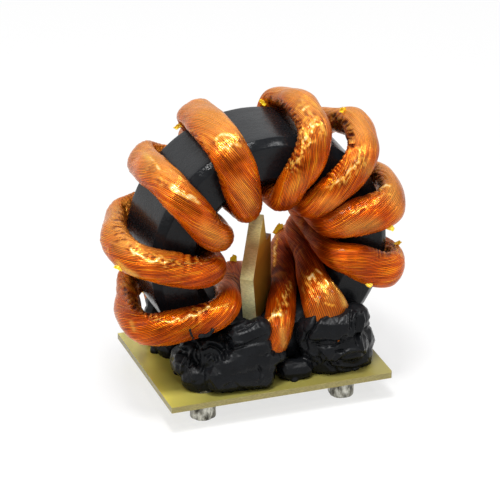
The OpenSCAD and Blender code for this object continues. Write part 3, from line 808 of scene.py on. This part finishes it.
# painted highlights on folds of the film, as rows for strokes_relief
GLINTS = [
    (1, 1.8, 216, 139, 220, 135, 225, 134, 230, 135, 236, 138),
    (1, 1.8, 220, 148, 225, 147, 228, 150, 232, 149), (0.9, 1.6, 229, 145, 234, 144, 240, 146),
    (0.6, 1.5, 222, 140, 226, 143), (0.5, 1.4, 232, 139, 238, 143),
    (0.45, 1.6, 219, 111, 228, 119, 238, 128, 244, 138), (0.4, 2.4, 203, 136, 205, 143, 208, 148),
    (0.4, 2.4, 181, 125, 187, 129, 193, 131),
    (1, 1.7, 170, 187, 176, 191, 182, 194, 188, 197, 194, 200, 199, 203),
    (0.8, 1.5, 172, 184, 178, 189, 184, 192), (0.5, 1.4, 160, 178, 166, 182),
    (0.8, 1.8, 150, 157, 155, 163, 160, 170), (0.8, 1.5, 190, 195, 196, 198),
    (1, 1.6, 131, 249, 134, 254, 137, 252), (0.9, 1.4, 138, 254, 143, 257, 148, 260),
    (1, 1.5, 148, 261, 154, 262, 160, 258), (0.8, 1.4, 160, 262, 164, 263, 168, 261),
    (0.6, 1.3, 152, 253, 156, 256), (0.6, 1.3, 160, 255, 166, 260), (0.7, 1.4, 177, 262, 180, 264),
    (0.5, 1.3, 140, 249, 145, 252), (0.6, 1.2, 214, 258, 220, 258, 226, 261),
    (0.8, 1.1, 164, 320, 167, 322, 172, 322, 178, 318, 181, 321, 186, 318, 190, 315),
    (0.9, 1.3, 190, 315, 195, 316, 200, 313), (0.8, 1.2, 200, 313, 205, 309, 209, 306),
    (0.6, 1.1, 207, 307, 213, 309, 220, 306, 228, 304), (0.5, 1.1, 192, 309, 198, 311),
    (0.9, 1.5, 302, 111, 305, 108, 309, 106), (0.6, 1.3, 296, 109, 300, 104, 305, 103),
    (0.9, 1.9, 310, 124, 313, 120, 316, 119), (0.8, 1.7, 312, 128, 316, 124, 319, 125),
    (0.8, 1.7, 306, 136, 309, 131, 312, 132), (0.9, 1.7, 303, 142, 307, 138), (0.8, 1.6, 302, 147, 306, 147),
    (0.8, 1.4, 308, 144, 311, 142, 315, 141), (0.7, 1.5, 300, 133, 303, 128), (0.6, 1.4, 320, 133, 327, 133),
    (0.7, 1.4, 296, 162, 300, 158, 303, 156), (0.6, 1.3, 291, 168, 294, 163), (0.6, 1.3, 303, 122, 306, 117),
    (0.4, 2.4, 305, 96, 315, 104, 325, 111), (0.6, 1.4, 330, 117, 333, 122, 335, 126),
    (1, 1.5, 350, 170, 354, 166, 359, 161), (0.7, 1.3, 347, 174, 350, 169),
    (0.9, 1.4, 335, 183, 340, 180, 345, 177), (0.7, 1.3, 327, 187, 332, 186),
    (0.6, 1.3, 352, 158, 357, 157, 362, 158), (0.5, 1.3, 363, 150, 366, 156), (0.6, 1.3, 359, 147, 360, 152),
    (0.5, 1.3, 356, 175, 358, 170), (0.5, 1.8, 380, 150, 382, 160, 380, 168, 374, 178),
    (0.55, 1.5, 393, 237, 398, 241, 402, 247), (0.5, 1.4, 396, 243, 400, 249, 402, 256),
    (0.45, 1.3, 389, 240, 394, 245, 397, 251), (0.9, 1.5, 382, 187, 386, 185, 390, 186),
    (0.6, 1.3, 388, 194, 391, 195), (0.6, 1.3, 375, 203, 379, 202), (0.7, 1.3, 360, 208, 365, 206, 368, 208),
    (0.6, 1.3, 350, 213, 356, 212), (0.7, 1.6, 274, 246, 275, 255, 274, 265),
    (0.5, 1.6, 276, 230, 277, 238, 276, 246), (0.6, 1.5, 290, 281, 291, 288),
    (0.5, 1.6, 282, 294, 285, 300, 287, 306), (0.5, 1.5, 277, 299, 280, 306, 281, 316),
    (0.9, 1.4, 272, 314, 276, 313, 280, 315), (0.9, 1.4, 269, 320, 272, 317, 277, 315),
    (0.4, 1.5, 283, 316, 281, 325), (0.9, 1.7, 310, 278, 313, 274, 315, 279), (0.7, 1.4, 316, 270, 322, 274),
    (0.8, 1.4, 318, 283, 322, 286), (0.9, 1.5, 325, 280, 328, 284, 326, 287),
    (0.6, 1.4, 306, 283, 312, 289, 318, 296), (0.6, 1.5, 307, 277, 309, 280), (0.5, 1.6, 322, 288, 328, 294),
    (0.5, 1.5, 325, 303, 330, 305, 336, 306),
]
# folds gathered on the inside of the bends, as rows for gathered; the copper gets painted shade in their
# grooves and painted highlights on their crests
GATHERS = [
    (1.0, 3.5, 4.6, 331, 113, 337, 118, 344, 121, 349, 127, 351, 134, 352, 144),
    (0.7, 3.5, 3.6, 268, 99, 281, 103, 292, 112, 299, 122, 302, 134),
    (0.9, 3.0, 4.2, 373, 173, 378, 178, 380, 185, 379, 193), (0.8, 5.0, 3.4, 401, 241, 394, 245, 387, 251),
    (0.8, 3.5, 5.0, 124, 286, 128, 297, 135, 306, 146, 313, 158, 318),
    (0.65, 7.0, 3.4, 126, 206, 120, 215, 118, 228, 121, 242),
    (0.5, 2.5, 4.4, 180, 130, 192, 134, 203, 144, 210, 158),
    (0.5, 2.5, 4.0, 128, 243, 140, 252, 156, 258, 175, 261),
]
# painted shade and painted dark reflections on the film, as rows for strokes_relief
SHADES = [
    (0.95, 5, 222, 158, 232, 162, 242, 158), (0.85, 5, 226, 168, 238, 172),
    (0.6, 4, 257, 180, 258, 200, 250, 217), (1.0, 3, 176, 198, 188, 205, 200, 214),
    (0.7, 3, 170, 198, 180, 208, 190, 214), (0.6, 4, 214, 215, 228, 226),
    (0.5, 3, 142, 265, 165, 268, 182, 265), (0.6, 4, 224, 268, 231, 278, 222, 288),
    (0.7, 4, 131, 283, 136, 300, 148, 312), (0.7, 3, 160, 315, 180, 313, 200, 304),
    (0.6, 2.5, 170, 327, 185, 324, 200, 317), (0.6, 4, 225, 290, 234, 282),
    (0.6, 6, 146, 330, 175, 336, 205, 330), (0.6, 4, 160, 328, 185, 328, 210, 318),
    (0.35, 8, 335, 258, 362, 262), (0.8, 3, 331, 114, 337, 119, 343, 121, 349, 127),
    (0.7, 2.5, 351, 132, 352, 144), (0.5, 8, 320, 148, 316, 158, 308, 168),
    (0.6, 5, 306, 162, 298, 172, 290, 178), (0.5, 3, 296, 124, 296, 145),
    (0.7, 4, 318, 192, 332, 190, 346, 183), (0.5, 3, 312, 198, 322, 196), (0.7, 4, 286, 203, 300, 206),
    (0.9, 2.5, 375, 175, 380, 180, 382, 186), (0.6, 3, 320, 214, 340, 218), (0.5, 4, 352, 196, 362, 190),
    (1.0, 5, 272, 268, 273, 280, 271, 292), (1.0, 6, 285, 248, 287, 262, 288, 273),
    (0.9, 5, 281, 262, 280, 280), (0.8, 3, 269, 242, 268, 262, 267, 290, 266, 302),
    (1.0, 10, 297, 226, 302, 240, 306, 252, 308, 264), (0.9, 4, 300, 264, 302, 276, 300, 290, 302, 300),
    (1.0, 7, 312, 228, 320, 242, 326, 254), (0.8, 3, 330, 262, 338, 272, 343, 282),
    (0.4, 4, 365, 250, 380, 256),
]
# paler yellow film; the wide faint rows, of half width 6 to 8 px, are painted light on the bundles
PALE_FILM_AND_LIGHT = [
    (0.8, 3.0, 334, 282, 341, 292, 345, 304), (0.3, 4, 322, 286, 332, 298),
    (0.9, 2.5, 118, 263, 125, 270, 136, 276), (1.0, 3.0, 144, 153, 149, 158), (0.6, 3, 274, 228, 276, 236),
    (0.5, 3, 340, 108, 346, 112), (0.25, 8, 240, 185, 250, 205), (0.3, 8, 205, 228, 222, 240),
    (0.2, 6, 300, 180, 290, 190), (0.25, 7, 322, 200, 340, 205), (0.35, 7, 350, 229, 375, 224),
    (0.3, 7, 360, 158, 370, 170), (0.3, 7, 392, 190, 400, 212), (0.6, 2, 176, 122, 180, 128),
    (0.5, 2, 131, 322, 134, 330), (0.5, 3, 282, 330, 284, 345),
]


# ---- adhesive
VOXEL = 0.24


def blob(name, node, lobes, seed, strokes, smears, material):
    """Adhesive lumps run together, squeezed out in folds."""
    rng = np.random.default_rng(seed)
    (x0, y0, _), (x1, y1, _) = [[v / MM for v in corner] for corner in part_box("base_plate")]
    lumps = []
    for p, q in lobes:
        p, q = np.array(p, float), np.array(q, float)
        n = max(3, int(np.linalg.norm(q[:3] - p[:3]) / 0.8))
        lumps += [p + (q - p) * k / n for k in range(n + 1)]
    # a ragged foot on the plate
    for c in [c for c in lumps if c[2] - c[3] < PLATE_TOP + 0.6][::2]:
        a, out, r = rng.random() * 2 * math.pi, 0.92 + 0.2 * rng.random(), 0.7 + 0.9 * rng.random()
        reach = math.sqrt(max(c[3] ** 2 - (c[2] - PLATE_TOP) ** 2, 0.2)) * out
        x, y = c[0] + reach * math.cos(a), c[1] + reach * math.sin(a)
        if x0 + 2 < x < x1 - 2 and y0 + 2 < y < y1 - 2:
            lumps.append(np.array([x, y, PLATE_TOP + 0.3 * r, r]))
    # smears on the bundles, along lines in the frame
    for r, *line in smears:
        spots = list(zip(line[::2], line[1::2]))
        before = None
        for (ax, ay), (bx, by) in zip(spots[:-1], spots[1:]):
            n = max(2, int(math.hypot(bx - ax, by - ay) / 1.5))
            for k in range(n + 1):
                spot = seen_at(ax + (bx - ax) * k / n, ay + (by - ay) * k / n)
                if spot and (before is None or (spot[0] - before).length < 3):
                    before, normal = spot
                    lumps.append(np.array([*(before - normal * 0.2 * r), r * (0.85 + 0.3 * rng.random())]))
    verts, faces = [], []
    ball, ball_faces = ico(2)
    for c in lumps:
        faces.extend((ball_faces + len(verts)).tolist())
        verts.extend((ball * c[3] + c[:3]).tolist())
    o = mesh_object(name, verts, faces, material)
    join = o.modifiers.new("join", "REMESH")
    join.mode = "VOXEL"
    join.voxel_size = VOXEL * MM
    join.use_smooth_shade = True
    me = bpy.data.meshes.new_from_object(o.evaluated_get(bpy.context.evaluated_depsgraph_get()))
    o.modifiers.clear()
    o.data = me
    points, normals = at_vertices(me, "co") / MM, at_vertices(me, "normal")
    move = np.zeros(len(points))
    for k, point in enumerate(points):
        p = Vector(point)
        q = p + noise.noise_vector(p * 0.10 + Vector((seed, 0, 0))) * 2.0
        crease = 1 - abs(noise.noise(q * 0.17))
        move[k] = 0.8 * noise.noise(q * 0.14 + Vector((9, seed, 1))) + 0.45 * (min(crease, 0.93) ** 3 - 0.6)
        move[k] += 0.06 * noise.noise(p * 1.1)
    move = np.maximum(move, -0.12) + strokes_relief(points, normals, strokes)
    points = points + normals * move[:, None]
    points[:, 2] = np.maximum(points[:, 2], PLATE_TOP)
    me.vertices.foreach_set("co", (points * MM).reshape(-1))
    me.materials.clear()
    me.materials.append(material)
    me.update()
    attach(o, "root")
    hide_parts(node)


def ico(levels):
    bm = bmesh.new()
    bmesh.ops.create_icosphere(bm, subdivisions=levels, radius=1.0)
    v = np.array([tuple(p.co) for p in bm.verts])
    f = np.array([[p.index for p in q.verts] for q in bm.faces])
    bm.free()
    return v, f


def lobes_at(x, y, rows):
    """Lobes from one end to the other. A row is x and y from a pin's centre, z from the plate's top and
    the radius, for each end."""
    return [[(x + a, y + b, PLATE_TOP + c, r) for a, b, c, r in (row[:4], row[4:])] for row in rows]


FRONT_LEFT_LOBES = lobes_at(-PIN_X, -PIN_Y, [
    (-2.4, 3.4, 5.6, 4.4, -0.8, 10, 3.4, 4.2), (-0.9, 0.7, 3, 4.8, 5.6, 0, 2.6, 5),
    (6, 0, 2.6, 5, 12.7, -0.4, 1.8, 5), (14.6, 0, 1, 4.4, 14.8, 2, 4.4, 4.2),
    (14.0, -3.5, 15.5, 3.5, 8.9, -3.0, 14.1, 3.5), (8.6, -3.2, 8.2, 4.6, 14.2, -3.5, 7.6, 4.7),
    (9.4, -3.2, 10.6, 4.0, 13.6, -3.8, 11.0, 3.8), (5.4, -3.0, 6.6, 4.6, 8.6, -3.2, 7.4, 4.7),
    (2.6, 0.2, 8.6, 4.6, 4.6, 0.6, 10.6, 3.8), (-0.6, 4.8, 9.1, 4, 2, 2, 6, 4.4),
    (3, -3.6, 4.2, 4.2, 13.4, -3.7, 4.0, 4.6),
])
FRONT_RIGHT_LOBES = lobes_at(PIN_X, -PIN_Y, [
    (-8.2, 1.2, 3.1, 4.6, -3.6, -1, 3.6, 5), (-2, -0.4, 3, 5, 3.5, 0.7, 2.6, 5),
    (5.4, 4.2, 3.4, 4.8, 4.6, 1.2, 6.7, 4.6), (-7.8, -2.4, 13.6, 3.8, -2.7, -4, 13, 4),
    (-2.7, -4, 13.4, 4, 2.6, -2.4, 14.4, 4), (2.4, 0.6, 14.4, 3.3, 4.2, 1.2, 10.4, 3.7),
    (-9.6, -0.8, 12.6, 3.2, -7.6, -0.8, 6.4, 4.4), (-4.4, -2.6, 7.4, 4.8, 1.6, -2.4, 7, 4.8),
    (-15.6, -2.4, 2.2, 2.7, -11.6, -2.6, 2.2, 3.0),
])
REAR_LEFT_LOBES = lobes_at(-PIN_X, PIN_Y, [
    (-2, -2.4, 2.4, 4.2, 3, -2.4, 2.6, 4.4), (-1, 0.6, 3, 4.8, 3, 0.6, 3, 4.8),
    (4, 0, 2, 4.4, 8, 0.2, 1.8, 4), (-1.4, 2, 6.4, 4.6, 1.8, 1.6, 6.8, 4.6), (4, 0.8, 6, 4, 6, 1, 4, 4),
    (-2.4, -3, 4.4, 4, -1.4, -8, 2, 3.6), (-0.8, 3.6, 10, 4, 2.2, 3, 9.4, 4),
    (6, 1.6, 3.6, 4, 9.4, 1, 1.6, 3.4),
])
REAR_RIGHT_LOBES = lobes_at(PIN_X, PIN_Y, [
    (-3, -1.6, 2.4, 4.4, 2.6, -2, 2.6, 4.4), (-4, 0.8, 3, 4.8, 1.6, 0.8, 3.2, 4.8),
    (-9, 0.6, 2.4, 4.2, -5, 0.6, 2.6, 4.6), (-4.6, 1.8, 7.4, 4.6, 0, 1.4, 6.4, 4.6),
    (2.6, 0.4, 5.4, 4, 3.6, -3, 4, 4), (-9.4, 2, 6.4, 4, -7, 2, 8.6, 4),
    (-13, 0.6, 1.4, 3.2, -10, 0.6, 1.8, 3.8), (2, -8, 1.6, 3.4, 3, -4.4, 2.2, 4),
])

# folds of the front lumps, as rows for strokes_relief
FRONT_LEFT_STROKES = [
    (0.75, 1.7, 199, 345, 206, 342, 213, 342, 220, 345, 225, 350, 228, 357),
    (-0.6, 1.4, 202, 349, 209, 345, 216, 347, 222, 352, 224, 359),
    (0.6, 1.3, 204, 352, 210, 349, 216, 351, 220, 356, 221, 362),
    (-0.5, 1.2, 206, 356, 211, 353, 215, 356, 217, 361), (0.5, 1.2, 208, 360, 211, 357, 214, 360),
    (0.7, 1.5, 200, 344, 202, 349, 203, 356, 203, 364, 201, 370), (-0.6, 1.3, 197, 347, 198, 355, 197, 364),
    (0.65, 1.4, 193, 348, 190, 356, 188, 363, 189, 369), (-1.0, 3.0, 180, 351, 186, 352),
    (-1.0, 2.6, 222, 337, 228, 340), (0.6, 1.3, 186, 358, 182, 366, 182, 372),
    (0.5, 1.3, 173, 357, 173, 351, 178, 347, 186, 346),
    (-0.4, 1.3, 223, 349, 229, 350, 237, 348, 247, 345, 257, 340, 266, 335),
    (0.5, 1.0, 233, 329, 240, 326, 247, 321, 250, 317), (-0.3, 1.2, 237, 331, 246, 327, 254, 322),
    (0.5, 0.9, 243, 330, 251, 326, 257, 321), (0.35, 1.2, 232, 347, 236, 343, 243, 343),
    (-0.25, 1.6, 203, 386, 209, 382, 213, 388), (-0.35, 1.6, 226, 387, 233, 382, 239, 388, 247, 391),
    (-0.5, 1.6, 258, 366, 262, 374, 259, 382), (0.35, 1.4, 176, 362, 183, 364, 190, 372, 194, 380),
]
FRONT_RIGHT_STROKES = [
    (-1.0, 1.8, 319, 316, 316, 322, 314, 328, 308, 334, 305, 342, 307, 348),
    (0.4, 1.4, 297, 314, 303, 311, 311, 312, 316, 316), (0.45, 1.5, 324, 319, 330, 314, 337, 310, 345, 309),
    (0.5, 1.3, 348, 311, 348, 319, 347, 327), (-0.5, 1.2, 351, 311, 351, 320, 350, 328),
    (0.5, 1.3, 355, 313, 352, 320, 353, 328, 350, 336),
    (0.65, 1.4, 362, 313, 364, 320, 361, 328, 359, 334, 360, 342, 363, 350),
    (-0.6, 1.3, 358, 318, 357, 327, 355, 335, 357, 344), (-0.6, 1.7, 313, 343, 325, 346, 336, 345, 345, 337),
    (-0.9, 1.8, 337, 352, 343, 351), (0.5, 1.3, 335, 360, 342, 354, 350, 350, 361, 350),
    (-0.6, 1.4, 338, 363, 347, 357, 357, 354, 364, 354), (0.5, 1.3, 333, 364, 344, 366, 355, 366, 367, 361),
    (-0.7, 1.5, 326, 362, 331, 367, 338, 371), (0.4, 1.2, 338, 370, 347, 371, 355, 370),
    (-0.5, 1.0, 305, 354, 309, 356), (-0.5, 1.0, 317, 357, 320, 360), (0.4, 1.0, 311, 354, 315, 356),
    (-0.5, 1.0, 313, 362, 316, 364), (-0.5, 1.0, 322, 355, 325, 358), (0.4, 1.0, 319, 363, 323, 362),
]
# adhesive wiped onto the bundles: radius in mm, then the x and y of each point in px
FRONT_LEFT_SMEARS = [
    (1.0, 193, 340, 204, 341, 212, 337, 220, 331, 229, 326, 238, 321), (0.5, 190, 330, 191, 334, 193, 338),
    (0.6, 200, 336, 207, 335, 213, 330), (1.8, 266, 357, 271, 360, 278, 358, 286, 354),
    (2.2, 265, 364, 272, 368, 280, 367, 287, 361), (2.2, 266, 374, 276, 376, 285, 371),
    (1.3, 262, 350, 266, 353), (0.9, 288, 346, 289, 352),
]


# ---- pins
def solder_pin(name, x, y, seed, material):
    """A bundle's end dipped in solder: round, a little lumpy, with a blunt tip."""
    rows, m = 30, 72
    verts = []
    for z in np.linspace(0, PIN_TOP, rows):
        blunt = 0.22 * (1 - min(1.0, math.sqrt(min(1.0, (z + 0.03) / 0.5))))
        for j in range(m):
            a = 2 * math.pi * j / m
            p = Vector((math.cos(a) * 1.5, math.sin(a) * 1.5, z * 0.35 + seed))
            r = (PIN_D / 2 - 0.12 + 0.26 * noise.noise(p) + 0.10 * noise.noise(p * 3.1)
                 + 0.05 * noise.noise(p * 7))
            r = min(r, PIN_D / 2 + 0.03) - blunt
            verts.append((x + r * math.cos(a), y + r * math.sin(a), z))
    caps = [tuple(range(m - 1, -1, -1)), tuple(range((rows - 1) * m, rows * m))]
    o = mesh_object("solder_" + name, verts, tube_faces(rows, m) + caps, material)
    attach(o, "root")
    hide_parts(name)


# ---- loose ends of the film
# x and y in px, width and length in mm, turn in degrees
FILM_SPOTS = [
    (277, 231, 2.3, 3.2, 70), (233, 257, 2.0, 2.4, 75), (264, 103, 1.2, 2.0, 140), (343, 111, 1.8, 1.6, 80),
    (390, 227, 1.8, 1.7, -40), (398, 243, 1.2, 1.9, 40), (369, 284, 1.8, 1.2, -60), (120, 268, 1.2, 2.2, 160),
    (180, 125, 1.3, 2.4, 215), (146, 290, 1.0, 1.6, 230),
]


def film_end(name, x, y, width, length, turn, seed, material):
    """A small crumpled flap of film lifting off a bundle, at the nearest place where one is seen."""
    near = sorted([(i * i + j * j, i, j) for i in range(-9, 10) for j in range(-9, 10)])
    place, normal = next(spot for spot in (seen_at(x + i, y + j) for _, i, j in near) if spot)
    right, up = Vector(RIGHT), Vector((0, 0, 1))
    front = Vector((right.y, -right.x, 0.4))
    normal = (normal * 0.35 + front.normalized()).normalized()
    way = right * math.cos(math.radians(turn)) + up * math.sin(math.radians(turn))
    along = (way - normal * way.dot(normal)).normalized()
    across = normal.cross(along)
    n = 14
    verts = []
    for i in range(n + 1):
        for j in range(n + 1):
            u, v = i / n, j / n - 0.5
            q = Vector((u * 2.2, v * 2.2, seed * 3.7))
            taper = 1 - 0.45 * u * u + 0.25 * noise.noise(q * 2)
            rise = (0.10 + 0.20 * length * u * u + 0.36 * noise.noise(q * 1.3) * (0.3 + u)
                    + 0.14 * noise.noise(q * 4))
            verts.append(place + along * length * (u - 0.35) * (1 + 0.2 * noise.noise(q)) +
                         across * width * v * taper + normal * max(rise, 0.06))
    faces = [(k, k + n + 1, k + n + 2, k + 1) for i in range(n) for k in range(i * (n + 1), i * (n + 1) + n)]
    o = mesh_object(name, verts, faces, material)
    o.modifiers.new("thick", "SOLIDIFY").thickness = 0.06 * MM
    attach(o, "root")


# ---- stage and light
def show_white(g, shader, white, share):
    """Ends a graph in white for the camera and for mirrors, and in the shader for all other light."""
    path = g.node("LightPath")
    eye, gloss, glass = [Value(g, path.outputs[kind + " Ray"]) for kind in
                         ("Is Camera", "Is Glossy", "Is Transmission")]
    seen = g.math("MAXIMUM", eye, g.math("MAXIMUM", gloss, glass))
    g.end(g.get("MixShader", 0, {0: seen * share, 1: shader, 2: white}))


def world():
    w = bpy.data.worlds.new("studio")
    bpy.context.scene.world = w
    g = Graph(w, "OutputWorld")
    light, white = [g.get("Background", 0, {"Color": (1, 1, 1), "Strength": strength})
                    for strength in (0.14, 1.0)]
    show_white(g, light, white, 1.0)


def floor():
    half = 3.0
    me = bpy.data.meshes.new("floor")
    me.from_pydata([(-half, -half, 0), (half, -half, 0), (half, half, 0), (-half, half, 0)], [],
                   [(0, 1, 2, 3)])
    o = in_scene("floor", me)
    g = Graph("floor_white")
    grey = g.get("BsdfPrincipled", 0, {"Base Color": (0.9, 0.9, 0.9), "Roughness": 0.6,
                                       "Specular IOR Level": 0.0})
    show_white(g, grey, g.get("Emission"), 0.72)
    me.materials.append(g.owner)


def lights():
    """A row is the name, the place and both sizes in metres, and the power in watts."""
    middle = Vector((0, 0, 0.035))
    for name, place, size, size_y, power in (
            ("key", (-0.14, -0.24, 0.90), 0.18, 0.22, 6.2),
            ("spark_0", (0.02, -0.30, 0.88), 0.04, 0.04, 0.8),
            ("spark_1", (-0.40, -0.36, 0.74), 0.04, 0.04, 0.8),
            ("spark_2", (0.30, -0.42, 0.76), 0.04, 0.04, 0.8),
            ("spark_3", (-0.12, -0.62, 0.62), 0.04, 0.04, 0.8),
            ("fill_right", (0.7, -0.35, 0.35), 0.5, 0.5, 0.35),
            ("fill_left", (-0.75, -0.20, 0.42), 0.5, 0.5, 1.5),
            ("top", (0.05, 0.35, 0.8), 0.6, 0.6, 1.6)):
        data = bpy.data.lights.new(name, "AREA")
        data.shape = "RECTANGLE"
        data.size, data.size_y, data.energy = size, size_y, power
        o = in_scene(name, data)
        o.location = place
        o.rotation_euler = (Vector(place) - middle).to_track_quat("Z", "Y").to_euler()


# ---- put it together
copper = copper_material()
coating = coating_material("core_coating", 0.20, 0.20)
edge_coating = coating_material("core_edge_coating", 0.10, 0.10)
adhesive = adhesive_material()
solder = solder_material()
yellow_film = film_material()
plate_look = laminate_material("base_laminate", (0.43, 0.365, 0.082), (0.34, 0.29, 0.105), 900.0, True)
# the divider's brown face colour is painted shade and painted copper reflection
divider_look = laminate_material("divider_laminate", (0.30, 0.14, 0.022), (0.60, 0.54, 0.27), 1100.0, False)

camera()
RING = core_ring(coating, edge_coating)
BUNDLES = [bundle("strands_left", "left_winding", LEFT_PATH, 11, copper),
           bundle("strands_right", "right_winding", RIGHT_PATH, 23, copper)]
mark_film(BUNDLES, [RING])
for side, lobes, seed, strokes, smears in (
        ("front_left", FRONT_LEFT_LOBES, 3, FRONT_LEFT_STROKES, FRONT_LEFT_SMEARS),
        ("front_right", FRONT_RIGHT_LOBES, 5, FRONT_RIGHT_STROKES, []),
        ("rear_left", REAR_LEFT_LOBES, 7, [], []),
        ("rear_right", REAR_RIGHT_LOBES, 9, [], [])):
    blob("glue_" + side, "adhesive_" + side, lobes, seed, strokes, smears, adhesive)
for number, spot in enumerate(FILM_SPOTS):
    film_end("film_end_%d" % number, *spot, number + 40, yellow_film)
for node, sx, sy in (("pin_front_left", -1, -1), ("pin_front_right", 1, -1),
                     ("pin_rear_left", -1, 1), ("pin_rear_right", 1, 1)):
    solder_pin(node, sx * PIN_X, sy * PIN_Y, sx * 2 + sy * 5, solder)
for node, look in (("base_plate", plate_look), ("divider", divider_look), ("adhesive_bed", adhesive)):
    NODES[node].data.materials.clear()
    NODES[node].data.materials.append(look)

world()
floor()
lights()
bpy.context.scene.view_settings.view_transform = "Standard"
